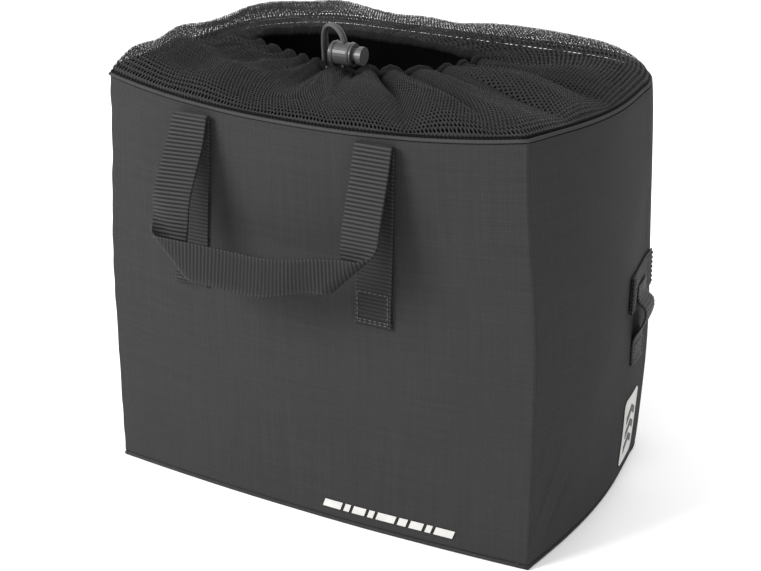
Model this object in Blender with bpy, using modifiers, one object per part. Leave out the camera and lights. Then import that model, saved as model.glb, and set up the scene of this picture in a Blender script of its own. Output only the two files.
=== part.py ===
"""Handlebar basket: a soft box bag with a drawcord mesh top, two webbing
handles, a light loop and a lift-off handlebar bracket.

Frame: metres, +Z up. The origin is at the middle of the base, on the surface
the basket stands on. +X is the right side seen from the front, and the front
face looks along -Y.
"""
import math

import bmesh
import bpy
from mathutils import Matrix, Vector

# ---------------------------------------------------------------- dimensions
GAP = 0.0003                # clearance between pieces that touch

# Bag body
BAG_WIDTH = 0.310           # across the front face, seam to seam
BAG_DEPTH = 0.222           # front seams to the back face
BAG_HEIGHT = 0.274          # floor to the top of the rim binding
REAR_TAPER = 0.006          # how much narrower the back is than the front
REAR_RADIUS = 0.055         # plan radius of the two rear corners
FRONT_BULGE = 0.010         # how far the middle of the front stands out
SIDE_BULGE = 0.006          # how far the middle of each side stands out
WALL = 0.003                # fabric and foam laminate of the walls
BASE_THICKNESS = 0.003
BOARD_ROOM = 0.0047         # space between the outer wall and the lining
LINING = 0.0010
BASE_BOARD = 0.0040
FRONT_BOARD = 0.0040
BACK_BOARD = 0.0016
BOARD_END_MARGIN = 0.012    # boards stop this far short of their corners
BOARD_TOP_DROP = 0.014      # boards stop this far below the binding

# Rim
RIM_HEIGHT = 0.008          # height of the binding tape
RIM_PROUD = 0.0008          # how far the binding stands out of the walls
RIM_HOOP_RADIUS = 0.0019
RIM_HOOP_DROP = 0.007       # hoop's centre below the binding

# Mesh top and drawcord
MOUTH_LENGTH = 0.168
MOUTH_WIDTH = 0.050
MOUTH_X = -0.022
MOUTH_Y = -0.006
CHANNEL_WIDTH = 0.0075      # gathered hem around the mouth
CHANNEL_HEIGHT = 0.0070
CHANNEL_RISE = 0.0075       # hem's top above the rim
NET_THICKNESS = 0.0015
NET_INSET = 0.0020          # collar's outer edge inside the rim
NET_SEAM = 0.0016           # collar's inner edge from the gathered hem
NET_PUFF_FRONT = 0.005
NET_PUFF_BACK = 0.017
CORD_DIAMETER = 0.0026
CORD_TUNNEL_CLEARANCE = 0.0003
STRAND_GAP = 0.0004         # between the two strands

KNOT_LENGTH = 0.010
KNOT_RADIUS = 0.0045
KNOT_END_RADIUS = 0.0036

# Cord lock
LOCK_X = -0.018
LOCK_RADIUS = 0.0075
LOCK_LEFT = 0.0082          # barrel's closed end, from the cord hole
LOCK_RIGHT = 0.0078         # barrel's open end, from the cord hole
LOCK_LIFT = 0.0010          # barrel above the channel
LOCK_BORE_RADIUS = 0.0050
LOCK_BORE_DEPTH = 0.0150
LOCK_FIT = 0.0003           # plunger and cord clearance in their holes
PLUNGER_TRAVEL = 0.0030
PLUNGER_INNER_END = 0.0029  # plunger's inner end, from the cord hole
PLUNGER_HEAD_RADIUS = 0.0060
PLUNGER_HEAD_LENGTH = 0.0035
SPRING_WIRE_RADIUS = 0.00025
SPRING_COIL_RADIUS = 0.0030
SPRING_TURNS = 3

# Webbing handles
WEBBING = 0.025             # width of every webbing strap
STUB_THICKNESS = 0.0018
STUB_CORNER = 0.0010
STUB_LENGTH = 0.114         # sewn end, below the fold
HANDLE_FOLD_DROP = 0.012    # each handle's fold, its hinge line, below the rim
HANDLE_SPREAD = 0.134       # between the centres of a handle's two legs
FRONT_HANDLE_X = -0.012
REAR_HANDLE_X = 0.0
FRONT_HANDLE_LENGTH = 0.108 # fold line to the grip's outer edge
REAR_HANDLE_LENGTH = 0.122  # longer, so that its grip hangs below the bracket
HANDLE_THICKNESS = 0.0022
HANDLE_CORNER = 0.034       # outer corner radius of the hanging loop
FRONT_HANG_ANGLE = 20.0     # how far the hanging loop stands off, degrees
REAR_HANG_ANGLE = 15.0
HINGE_CLEARANCE = 0.0010

# Side light loop
LOOP_BAND_AHEAD = 0.048     # its front stitches, ahead of the rear corner
LOOP_BAND_WRAP = 12.0       # how far it goes round the rear corner, degrees
LOOP_BAND_LOW = 0.131
BAND_THICKNESS = 0.0016
TONGUE_AHEAD = 0.032        # loop's front edge, ahead of the rear corner
TONGUE_BOTTOM = 0.086
TONGUE_SEWN = 0.020         # flat stitched height
TONGUE_REACH = 0.020        # how far the loop stands off the side
TONGUE_LOW_RISE = 0.004     # heights of its curve's points above the stitches
TONGUE_MID_RISE = 0.009
TONGUE_NOSE_RISE = 0.0155
TONGUE_TOP_DROP = 0.0035    # its upper curve's point below the band

# Reflective marks
MARK_THICKNESS = 0.0005
PATCH_AHEAD = 0.037         # patch's front edge, ahead of the rear corner
PATCH_LENGTH = 0.042
PATCH_LOW = 0.011
PATCH_HEIGHT = 0.052
BAR_LEFT = 0.012
BAR_LENGTH = 0.104
BAR_LOW = 0.0095
BAR_HEIGHT = 0.0095

# Mounting plate on the back, and its handlebar bracket
PLATE_WIDTH = 0.084
PLATE_HEIGHT = 0.056
PLATE_THICKNESS = 0.005
PLATE_DROP = 0.052          # plate's middle below the rim
PLATE_CORNER = 0.008
BACKING_THICKNESS = 0.0022
SCREW_SPACING_X = 0.068
SCREW_SPACING_Z = 0.040
SCREW_RADIUS = 0.0020
SCREW_HEAD_RADIUS = 0.0038
SCREW_HEAD_HEIGHT = 0.0022
SCREW_HOLE_CLEARANCE = 0.0003
RAIL_NECK_WIDTH = 0.016
RAIL_NECK_DEPTH = 0.0045
RAIL_HEAD_WIDTH = 0.028
RAIL_HEAD_DEPTH = 0.0040
RAIL_LENGTH = 0.022
RAIL_CLEARANCE = 0.0004
BRACKET_WIDTH = 0.046
BRACKET_WALL = 0.0045       # bracket's wall behind the rail
BRACKET_FLOOR = 0.0040
BAR_RADIUS = 0.0159         # handlebar, 31.8 mm across
BAR_WALL = 0.0045           # clamp ring around the handlebar
CLAMP_WIDTH = 0.014
CLAMP_SPACING = 0.058       # between the middles of the two clamps
CLAMP_SPLIT = 0.0016        # open gap between saddle and cap
CLAMP_EAR = 0.009           # bolt ears above and below the ring
CLAMP_EAR_DEPTH = 0.006
BOLT_RADIUS = 0.0020
BOLT_HEAD_RADIUS = 0.0036
BOLT_HEAD_HEIGHT = 0.0030
BUTTON_WIDTH = 0.014
BUTTON_HEIGHT = 0.008
BUTTON_DEPTH = 0.010
BUTTON_TRAVEL = 0.0030
BUTTON_FIT = 0.0004
BUTTON_BLOCK_WALL = 0.004   # bracket around the button's pocket
POCKET_FLOOR = 0.002
BUTTON_CORNER = 0.002
BUTTON_SPRING_RADIUS = 0.0025
ARM_HEIGHT = 0.022          # arms between the socket and the clamps
ARM_OVERLAP = 0.004         # how far an arm reaches into the socket and its clamp
CUT_THROUGH = 0.002         # how far a cutting tool passes a face

# Places that follow from the sizes above
FRONT_Y = -BAG_DEPTH / 2
BACK_Y = BAG_DEPTH / 2
CORNER_Y = BACK_Y - REAR_RADIUS          # where the rear corners start
REAR_HALF = (BAG_WIDTH - REAR_TAPER) / 2
WALL_LOW = BASE_THICKNESS + GAP
RIM_LOW = BAG_HEIGHT - RIM_HEIGHT
WALL_HIGH = RIM_LOW - GAP
LINING_INSET = WALL + BOARD_ROOM
BOARD_LOW = WALL_LOW + BASE_BOARD + GAP      # on top of the base board
BOARD_HIGH = RIM_LOW - BOARD_TOP_DROP
CHANNEL_TOP = BAG_HEIGHT + CHANNEL_RISE
CHANNEL_LOW = CHANNEL_TOP - CHANNEL_HEIGHT
STRAND_SPACING = CORD_DIAMETER + STRAND_GAP
HANDLE_FOLD_Z = BAG_HEIGHT - HANDLE_FOLD_DROP
STUB_BOTTOM = HANDLE_FOLD_Z - STUB_LENGTH
LOCK_Y = MOUTH_Y - MOUTH_WIDTH / 2 - CHANNEL_WIDTH / 2
LOCK_Z = CHANNEL_TOP + LOCK_LIFT + LOCK_RADIUS
PLATE_BACK_Y = BACK_Y + GAP + PLATE_THICKNESS
PLATE_MIDDLE_Z = BAG_HEIGHT - PLATE_DROP

CUTTERS = "cutters"
PARTS = "handlebar_basket"


# ------------------------------------------------------------------- helpers
def clear_scene():
    """Start from an empty scene with one collection for the parts."""
    for obj in list(bpy.data.objects):
        bpy.data.objects.remove(obj, do_unlink=True)
    for name in (PARTS, CUTTERS):
        group = bpy.data.collections.new(name)
        bpy.context.scene.collection.children.link(group)


def make_material(name, colour, roughness, metallic=0.0):
    """A Principled material of one colour."""
    material = bpy.data.materials.new(name)
    material.use_nodes = True
    shader = material.node_tree.nodes["Principled BSDF"]
    shader.inputs["Base Color"].default_value = (*colour, 1.0)
    shader.inputs["Roughness"].default_value = roughness
    shader.inputs["Metallic"].default_value = metallic
    return material


def add_part(name, mesh, material):
    """Put a finished mesh in the scene as the sub-part called name."""
    obj = bpy.data.objects.new(name, mesh)
    bpy.data.collections[PARTS].objects.link(obj)
    mesh.materials.clear()
    mesh.materials.append(material)
    return obj


def curve_to_mesh(name, curve, matrix):
    """The closed, welded mesh of a curve, moved by matrix."""
    holder = bpy.data.objects.new(name + "_curve", curve)
    bpy.context.scene.collection.objects.link(holder)
    depsgraph = bpy.context.evaluated_depsgraph_get()
    mesh = bpy.data.meshes.new_from_object(holder.evaluated_get(depsgraph))
    bpy.data.objects.remove(holder, do_unlink=True)
    mesh.name = name
    bm = bmesh.new()
    bm.from_mesh(mesh)
    bmesh.ops.remove_doubles(bm, verts=bm.verts, dist=0.000005)
    bmesh.ops.recalc_face_normals(bm, faces=bm.faces)
    bmesh.ops.transform(bm, matrix=matrix, verts=bm.verts)
    bm.to_mesh(mesh)
    bm.free()
    return mesh


# Turns that carry a flat outline's own x, y and thickness to the world's axes.
TURNS = {
    "Z": Matrix.Identity(4),                                                # outline in x, y
    "Y": Matrix(((1, 0, 0, 0), (0, 0, 1, 0), (0, 1, 0, 0), (0, 0, 0, 1))),  # outline in x, z
    "X": Matrix(((0, 0, 1, 0), (1, 0, 0, 0), (0, 1, 0, 0), (0, 0, 0, 1))),  # outline in y, z
}


def extruded(name, outline, low, high, along="Z", hole=None):
    """A flat plate of an outline; a hole has as many points as its outline."""
    bm = bmesh.new()
    outer = [bm.verts.new((across, up, low)) for across, up in outline]
    if hole is None:
        faces = [bm.faces.new(outer)]
    else:
        inner = [bm.verts.new((across, up, low)) for across, up in hole]
        faces = [bm.faces.new((outer[index - 1], outer[index], inner[index], inner[index - 1]))
                 for index in range(len(outer))]
    grown = bmesh.ops.extrude_face_region(bm, geom=faces, use_keep_orig=True)
    raised = [item for item in grown["geom"] if isinstance(item, bmesh.types.BMVert)]
    bmesh.ops.translate(bm, vec=(0.0, 0.0, high - low), verts=raised)
    bmesh.ops.transform(bm, matrix=TURNS[along], verts=bm.verts)
    bmesh.ops.recalc_face_normals(bm, faces=bm.faces)
    mesh = bpy.data.meshes.new(name)
    bm.to_mesh(mesh)
    bm.free()
    return mesh


def tube(name, points, radius, closed=False, resolution=2):
    """A round tube along points, with filled ends."""
    curve = bpy.data.curves.new(name, "CURVE")
    curve.dimensions = "3D"
    curve.bevel_depth = radius
    curve.bevel_resolution = resolution
    curve.use_fill_caps = True
    spline = curve.splines.new("POLY")
    spline.points.add(len(points) - 1)
    for point, place in zip(spline.points, points):
        point.co = (*place, 1.0)
    spline.use_cyclic_u = closed
    return curve_to_mesh(name, curve, Matrix.Identity(4))


def cylinder(name, start, end, radius, end_radius=None, sides=24):
    """A cylinder or cone from start to end, shaded smooth."""
    start, end = Vector(start), Vector(end)
    axis = end - start
    place = Matrix.Translation((start + end) / 2) @ axis.to_track_quat("Z", "X").to_matrix().to_4x4()
    bm = bmesh.new()
    bmesh.ops.create_cone(
        bm, cap_ends=True, segments=sides, radius1=radius,
        radius2=radius if end_radius is None else end_radius, depth=axis.length, matrix=place)
    mesh = bpy.data.meshes.new(name)
    bm.to_mesh(mesh)
    bm.free()
    mesh.shade_smooth()
    mesh.set_sharp_from_angle(angle=math.radians(40))
    return mesh


def box(name, low, high):
    """A box between two corners."""
    bm = bmesh.new()
    bmesh.ops.create_cube(bm, size=1.0)
    low, high = Vector(low), Vector(high)
    size = high - low
    bmesh.ops.transform(
        bm, matrix=Matrix.Translation((low + high) / 2) @ Matrix.Diagonal((*size, 1.0)), verts=bm.verts)
    mesh = bpy.data.meshes.new(name)
    bm.to_mesh(mesh)
    bm.free()
    return mesh


def combine(part, mesh, operation):
    """Cut mesh from a part, or join it to the part, with a Boolean."""
    cutter = bpy.data.objects.new(part.name + "_" + mesh.name, mesh)
    bpy.data.collections[CUTTERS].objects.link(cutter)
    cutter.hide_render = True
    cutter.display_type = "WIRE"
    modifier = part.modifiers.new(cutter.name, "BOOLEAN")
    modifier.operation = operation
    modifier.solver = "EXACT"
    modifier.object = cutter


def cut(part, mesh):
    combine(part, mesh, "DIFFERENCE")


def join(part, mesh):
    combine(part, mesh, "UNION")


def pivot(name, place, children):
    """An empty on a joint's axis that its moving pieces hang from."""
    empty = bpy.data.objects.new(name, None)
    empty.location = place
    bpy.data.collections[PARTS].objects.link(empty)
    bpy.context.view_layer.update()
    for child in children:
        child.parent = empty
        child.matrix_parent_inverse = empty.matrix_world.inverted()
    return empty


def arc(centre, radius, start, end, steps):
    """Points on an arc, angles in degrees, both ends included."""
    points = []
    for step in range(steps + 1):
        angle = math.radians(start + (end - start) * step / steps)
        points.append((centre[0] + radius * math.cos(angle), centre[1] + radius * math.sin(angle)))
    return points


def rounded_rectangle(centre, width, height, radius, steps=4):
    """A rectangle's outline with round corners, counter-clockwise."""
    points = []
    for across, up, start in ((1, 1, 0), (-1, 1, 90), (-1, -1, 180), (1, -1, 270)):
        corner = (centre[0] + across * (width / 2 - radius), centre[1] + up * (height / 2 - radius))
        points += arc(corner, radius, start, start + 90, steps)
    return points


def offset_path(points, distance, closed):
    """Move a path to its left by distance, keeping its corners."""
    moved = []
    count = len(points)
    for index, point in enumerate(points):
        here = Vector(point)
        before = Vector(points[index - 1]) if closed or index > 0 else None
        after = Vector(points[(index + 1) % count]) if closed or index < count - 1 else None
        normals = []
        for start, end in ((before, here), (here, after)):
            if start is not None and end is not None:
                run = (end - start).normalized()
                normals.append(Vector((-run.y, run.x)))
        mean = sum(normals, Vector((0, 0))).normalized()
        moved.append(tuple(here + mean * distance / mean.dot(normals[0])))
    return moved


# ------------------------------------------------------------ the bag's plan
def front_bulge(x):
    """How far the front stands out at x."""
    return FRONT_BULGE * (1 - (2 * x / BAG_WIDTH) ** 2)


def front_points(start, end, steps):
    """The front's curved line from x = start to x = end."""
    return [(x, FRONT_Y - front_bulge(x))
            for x in (start + (end - start) * step / steps for step in range(steps + 1))]


def side_x(y):
    """The right side's distance from the middle plane at depth y."""
    along = (y - FRONT_Y) / (CORNER_Y - FRONT_Y)
    straight = BAG_WIDTH / 2 - REAR_TAPER / 2 * along
    return straight + SIDE_BULGE * math.sin(math.pi * along)


def right_side_points(start, end, steps):
    """The right side's line from depth start to depth end."""
    return [(side_x(y), y)
            for y in (start + (end - start) * step / steps for step in range(steps + 1))]


def corner_points(start, end, steps):
    """The right rear corner's line between two angles in degrees."""
    return arc((REAR_HALF - REAR_RADIUS, CORNER_Y), REAR_RADIUS, start, end, steps)


def wrap_points(start):
    """Right side, back and left side as one line, from depth start."""
    right = right_side_points(start, CORNER_Y, 6)
    right += corner_points(0, 90, 6)[1:]
    return right + [(-x, y) for x, y in reversed(right)]


def plan():
    """The bag's whole outline, counter-clockwise."""
    return front_points(-BAG_WIDTH / 2, BAG_WIDTH / 2, 8) + wrap_points(FRONT_Y)[1:-1]


def strip(path, clearance, thickness):
    """An outline that lies outside an open path by clearance."""
    inner = offset_path(path, -clearance, False)
    outer = offset_path(path, -clearance - thickness, False)
    return outer + list(reversed(inner))


# --------------------------------------------------------------- the pieces
def build_walls(fabric, board, lining_cloth):
    """Outer fabric panels, the boards that stiffen them and the lining."""
    front_line = front_points(-BAG_WIDTH / 2, BAG_WIDTH / 2, 10)
    front = front_line + list(reversed(offset_path(front_line, WALL, False)))
    add_part("front_panel", extruded("front_panel", front, WALL_LOW, WALL_HIGH), fabric)

    wrap_line = wrap_points(FRONT_Y + WALL + GAP)
    wrap = wrap_line + list(reversed(offset_path(wrap_line, WALL, False)))
    wrap_panel = add_part("wrap_panel", extruded("wrap_panel", wrap, WALL_LOW, WALL_HIGH), fabric)

    add_part("base_panel", extruded("base_panel", plan(), 0.0, BASE_THICKNESS), fabric)

    base_outline = offset_path(plan(), WALL + GAP, True)
    add_part("base_board",
             extruded("base_board", base_outline, WALL_LOW, WALL_LOW + BASE_BOARD), board)

    half = BAG_WIDTH / 2 - WALL - BOARD_END_MARGIN
    front_board_line = offset_path(front_points(-half, half, 8), WALL + GAP, False)
    front_board = front_board_line + list(reversed(offset_path(front_board_line, FRONT_BOARD, False)))
    add_part("front_board", extruded("front_board", front_board, BOARD_LOW, BOARD_HIGH), board)

    back_half = REAR_HALF - REAR_RADIUS
    back_y = BACK_Y - WALL - GAP
    back_outline = [(-back_half, back_y - BACK_BOARD), (back_half, back_y - BACK_BOARD),
                    (back_half, back_y), (-back_half, back_y)]
    back_board = add_part("back_board",
                          extruded("back_board", back_outline, BOARD_LOW, BOARD_HIGH), board)

    lining_plan = offset_path(plan(), LINING_INSET, True)
    lining = add_part("lining", extruded("lining", lining_plan, BOARD_LOW, WALL_HIGH), lining_cloth)
    hollow = extruded("hollow", offset_path(plan(), LINING_INSET + LINING, True),
                      BOARD_LOW + LINING, BAG_HEIGHT)
    cut(lining, hollow)
    return wrap_panel, back_board


def build_rim(tape, spring_steel):
    """The binding tape round the rim and the hoop that holds it open."""
    outer = offset_path(plan(), -RIM_PROUD, True)
    inner = offset_path(plan(), LINING_INSET + LINING, True)
    add_part("rim_binding", extruded("rim_binding", outer, RIM_LOW, BAG_HEIGHT, hole=inner), tape)

    hoop_line = offset_path(plan(), WALL + BOARD_ROOM / 2, True)
    hoop_z = RIM_LOW - RIM_HOOP_DROP
    hoop = tube("rim_hoop", [(x, y, hoop_z) for x, y in hoop_line], RIM_HOOP_RADIUS, closed=True)
    add_part("rim_hoop", hoop, spring_steel)


def mouth_outline(margin, steps=8):
    """The mouth's slot outline, grown by margin."""
    return rounded_rectangle((MOUTH_X, MOUTH_Y), MOUTH_LENGTH + 2 * margin, MOUTH_WIDTH + 2 * margin,
                             MOUTH_WIDTH / 2 + margin - GAP, steps)


def at_angles(outline, centre, count):
    """Points where evenly spaced rays from centre cross an outline."""
    found = []
    for step in range(count):
        angle = 2 * math.pi * step / count
        ray = Vector((math.cos(angle), math.sin(angle)))
        best = None
        for index, point in enumerate(outline):
            start = Vector(point) - Vector(centre)
            run = Vector(outline[(index + 1) % len(outline)]) - Vector(point)
            turn = ray.x * run.y - ray.y * run.x
            if abs(turn) < 1e-12:
                continue
            share = (start.x * ray.y - start.y * ray.x) / turn
            reach = (start.x * run.y - start.y * run.x) / turn
            if -1e-9 <= share <= 1 + 1e-9 and reach > 0 and (best is None or reach > best):
                best = reach
        found.append(Vector(centre) + ray * best)
    return found


def build_net(netting):
    """The mesh collar: a loft from the rim's plan to the mouth's slot."""
    rays = 56
    rings = 7
    centre = (MOUTH_X, MOUTH_Y)
    outer = at_angles(offset_path(plan(), NET_INSET, True), centre, rays)
    inner = at_angles(mouth_outline(CHANNEL_WIDTH + NET_SEAM), centre, rays)
    base_z = BAG_HEIGHT + GAP
    channel_z = CHANNEL_LOW + CHANNEL_HEIGHT / 2
    bm = bmesh.new()
    loops = []
    for ring in range(rings + 1):
        share = ring / rings
        loop = []
        for start, end in zip(outer, inner):
            place = start.lerp(end, share)
            to_back = (start.y - FRONT_Y) / BAG_DEPTH
            puff = NET_PUFF_FRONT + (NET_PUFF_BACK - NET_PUFF_FRONT) * min(max(to_back, 0.0), 1.0)
            rise = base_z + (channel_z - base_z) * share + puff * math.sin(math.pi * share ** 0.6)
            loop.append(bm.verts.new((place.x, place.y, rise)))
        loops.append(loop)
    for low, high in zip(loops, loops[1:]):
        for index in range(rays):
            following = (index + 1) % rays
            bm.faces.new((low[index], low[following], high[following], high[index]))
    bmesh.ops.recalc_face_normals(bm, faces=bm.faces)
    mesh = bpy.data.meshes.new("mesh_collar")
    bm.to_mesh(mesh)
    bm.free()
    collar = add_part("mesh_collar", mesh, netting)
    shell = collar.modifiers.new("thickness", "SOLIDIFY")
    shell.thickness = NET_THICKNESS
    shell.offset = 1.0


def build_drawcord(hem, cord, knot):
    """The hem round the mouth, its cord, and the free strands' tail."""
    tunnel_z = CHANNEL_LOW + CHANNEL_HEIGHT / 2
    line = mouth_outline(CHANNEL_WIDTH / 2)
    channel = add_part(
        "drawcord_channel",
        extruded("drawcord_channel", mouth_outline(CHANNEL_WIDTH), CHANNEL_LOW, CHANNEL_TOP,
                 hole=mouth_outline(0.0)), hem)
    path = [(x, y, tunnel_z) for x, y in line]
    cord_radius = CORD_DIAMETER / 2
    cut(channel, tube("tunnel", path, cord_radius + CORD_TUNNEL_CLEARANCE, closed=True))
    hole_radius = cord_radius + CORD_TUNNEL_CLEARANCE
    for side in (-1, 1):
        centre = (LOCK_X, LOCK_Y + side * STRAND_SPACING / 2)
        exit_hole = cylinder("exit", (*centre, tunnel_z), (*centre, CHANNEL_TOP + CUT_THROUGH), hole_radius,
                             sides=12)
        cut(channel, exit_hole)
    add_part("drawcord", tube("drawcord", path, cord_radius, closed=True), cord)

    for name, side in (("cord_strand_front", -1), ("cord_strand_back", 1)):
        route = strand_route(side)
        add_part(name, tube(name, smooth_route(route), cord_radius), cord)

    low_end = Vector(strand_route(1)[-1])
    other_end = Vector(strand_route(-1)[-1])
    middle = (low_end + other_end) / 2
    top = middle - Vector((0, 0, GAP))
    bottom = top - Vector((0, 0, KNOT_LENGTH))
    add_part("cord_end_knot",
             cylinder("cord_end_knot", top, bottom, KNOT_RADIUS, KNOT_END_RADIUS, 12), knot)


# The free strands' route, chosen by hand: up through the lock, over to the
# left and down into the mouth. Each row is an offset from the cord hole at the
# hem's top, and the turn of the pair of strands about the vertical in degrees.
STRAND_ROUTE = (
    (0.0000, 0.0000, -0.0010, 0),
    (0.0000, 0.0000, 0.0060, 0),
    (0.0000, 0.0000, 0.0130, 0),
    (-0.0006, 0.0001, 0.0180, 0),
    (-0.0030, 0.0004, 0.0222, 0),
    (-0.0068, 0.0010, 0.0250, 0),
    (-0.0110, 0.0018, 0.0258, 0),
    (-0.0146, 0.0028, 0.0240, 0),
    (-0.0168, 0.0040, 0.0200, 4),
    (-0.0178, 0.0054, 0.0140, 16),
    (-0.0182, 0.0070, 0.0060, 32),
    (-0.0184, 0.0084, -0.0030, 48),
    (-0.0182, 0.0094, -0.0130, 60),
    (-0.0178, 0.0098, -0.0230, 65),
)


def strand_route(side):
    """One strand's points; side is -1 for the front one and 1 for the back."""
    points = []
    shift = side * STRAND_SPACING / 2
    for across, back, up, turn in STRAND_ROUTE:
        angle = math.radians(turn)
        points.append((LOCK_X + across + shift * math.sin(angle),
                       LOCK_Y + back + shift * math.cos(angle),
                       CHANNEL_TOP + up))
    return points


def smooth_route(points, steps=3):
    """A Catmull-Rom curve through points, sampled evenly between them."""
    vectors = [Vector(point) for point in points]
    ends = [2 * vectors[0] - vectors[1]] + vectors + [2 * vectors[-1] - vectors[-2]]
    smooth = []
    for index in range(1, len(ends) - 2):
        before, start, end, after = ends[index - 1:index + 3]
        for step in range(steps):
            t = step / steps
            smooth.append(0.5 * (2 * start + (end - before) * t
                                 + (2 * before - 5 * start + 4 * end - after) * t ** 2
                                 + (3 * start - before - 3 * end + after) * t ** 3))
    smooth.append(vectors[-1])
    return [tuple(point) for point in smooth]


def build_lock(plastic, dark_plastic, spring_steel):
    """The barrel cord lock with its sprung plunger."""
    def at(across, up=0.0):
        return (LOCK_X + across, LOCK_Y, LOCK_Z + up)

    strands_half = (STRAND_SPACING + CORD_DIAMETER) / 2 + LOCK_FIT
    cord_half = CORD_DIAMETER / 2 + LOCK_FIT
    barrel = add_part(
        "cord_lock_barrel", cylinder("cord_lock_barrel", at(-LOCK_LEFT), at(LOCK_RIGHT), LOCK_RADIUS),
        plastic)
    bore_end = at(LOCK_RIGHT + CUT_THROUGH)
    cut(barrel, cylinder("bore", at(LOCK_RIGHT - LOCK_BORE_DEPTH), bore_end, LOCK_BORE_RADIUS))
    slot = rounded_rectangle((LOCK_X, LOCK_Y), 2 * cord_half, 2 * strands_half, cord_half - GAP / 10)
    cut(barrel, extruded("cord_hole", slot, LOCK_Z - 2 * LOCK_RADIUS, LOCK_Z + 2 * LOCK_RADIUS))

    head_start = LOCK_RIGHT + GAP + PLUNGER_TRAVEL
    plunger = add_part(
        "cord_lock_plunger",
        cylinder("cord_lock_plunger", at(-PLUNGER_INNER_END), at(head_start + PLUNGER_HEAD_LENGTH / 2),
                 LOCK_BORE_RADIUS - LOCK_FIT), dark_plastic)
    join(plunger, cylinder("head", at(head_start), at(head_start + PLUNGER_HEAD_LENGTH), PLUNGER_HEAD_RADIUS))
    long_slot = rounded_rectangle(
        (LOCK_X + PLUNGER_TRAVEL / 2, LOCK_Y), 2 * cord_half + PLUNGER_TRAVEL, 2 * strands_half,
        cord_half - GAP / 10)
    cut(plunger, extruded("cord_slot", long_slot, LOCK_Z - 2 * LOCK_RADIUS, LOCK_Z + 2 * LOCK_RADIUS))

    spring_start = LOCK_RIGHT - LOCK_BORE_DEPTH + GAP + SPRING_WIRE_RADIUS
    spring_end = -PLUNGER_INNER_END - GAP - SPRING_WIRE_RADIUS
    spring = tube("cord_lock_spring",
                  helix(at(spring_start), (1, 0, 0), spring_end - spring_start, SPRING_COIL_RADIUS,
                        SPRING_TURNS), SPRING_WIRE_RADIUS)
    spring_part = add_part("cord_lock_spring", spring, spring_steel)
    pivot("plunger_slide_axis", at(head_start), [plunger])
    pivot("cord_lock_slide_axis", at(0.0), [barrel, spring_part])


def helix(start, axis, length, radius, turns, steps=10):
    """Points of a coil that runs from start along axis."""
    axis = Vector(axis).normalized()
    across = axis.orthogonal().normalized()
    up = axis.cross(across)
    points = []
    for step in range(turns * steps + 1):
        angle = 2 * math.pi * step / steps
        along = length * step / (turns * steps)
        points.append(tuple(Vector(start) + axis * along
                            + (across * math.cos(angle) + up * math.sin(angle)) * radius))
    return points


def loop_outline(length):
    """A hanging handle's U, legs up, from its fold line at height 0."""
    half = HANDLE_SPREAD / 2 + WEBBING / 2
    inner_half = half - WEBBING
    inner_corner = HANDLE_CORNER - WEBBING
    outer = [(-half, 0.0)]
    outer += arc((-half + HANDLE_CORNER, -length + HANDLE_CORNER), HANDLE_CORNER, 180, 270, 6)
    outer += arc((half - HANDLE_CORNER, -length + HANDLE_CORNER), HANDLE_CORNER, 270, 360, 6)
    outer += [(half, 0.0)]
    grip = -length + WEBBING
    inner = [(inner_half, 0.0)]
    inner += arc((inner_half - inner_corner, grip + inner_corner), inner_corner, 360, 270, 4)
    inner += arc((-inner_half + inner_corner, grip + inner_corner), inner_corner, 270, 180, 4)
    inner += [(-inner_half, 0.0)]
    return outer + inner


def build_handle(name, middle_x, outward, length, hang_angle, webbing):
    """Two sewn stubs and the loose loop of one handle.

    outward is -1 on the front face and 1 on the back face.
    """
    leg = HANDLE_SPREAD / 2
    reaches = []
    for side_name, side in (("left", -1), ("right", 1)):
        x = middle_x + side * leg
        tilt = 0.0
        face_y = BACK_Y
        if outward < 0:
            face_y = FRONT_Y - front_bulge(x)
            tilt = math.atan(8 * FRONT_BULGE * x / BAG_WIDTH ** 2)
        plate = extruded(
            name + "_stub_" + side_name,
            rounded_rectangle((0.0, (STUB_BOTTOM + HANDLE_FOLD_Z) / 2), WEBBING,
                              HANDLE_FOLD_Z - STUB_BOTTOM, STUB_CORNER, 1),
            0.0, STUB_THICKNESS, along="Y")
        start = GAP if outward > 0 else -GAP - STUB_THICKNESS
        plate.transform(Matrix.Translation((0.0, start, 0.0)))
        plate.transform(Matrix.Translation((x, face_y, 0.0)) @ Matrix.Rotation(tilt, 4, "Z"))
        add_part(name + "_stub_" + side_name, plate, webbing)
        reaches.append(max(abs(vertex.co.y) for vertex in plate.vertices))
    hinge_y = outward * (max(reaches) + GAP + HINGE_CLEARANCE + HANDLE_THICKNESS / 2)
    loop = extruded(name + "_strap", loop_outline(length), -HANDLE_THICKNESS / 2, HANDLE_THICKNESS / 2,
                    along="Y")
    swing = Matrix.Rotation(math.radians(outward * hang_angle), 4, "X")
    hinge = (middle_x, hinge_y, HANDLE_FOLD_Z)
    loop.transform(Matrix.Translation(hinge) @ swing)
    strap = add_part(name + "_strap", loop, webbing)
    pivot(name + "_fold", hinge, [strap])


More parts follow.
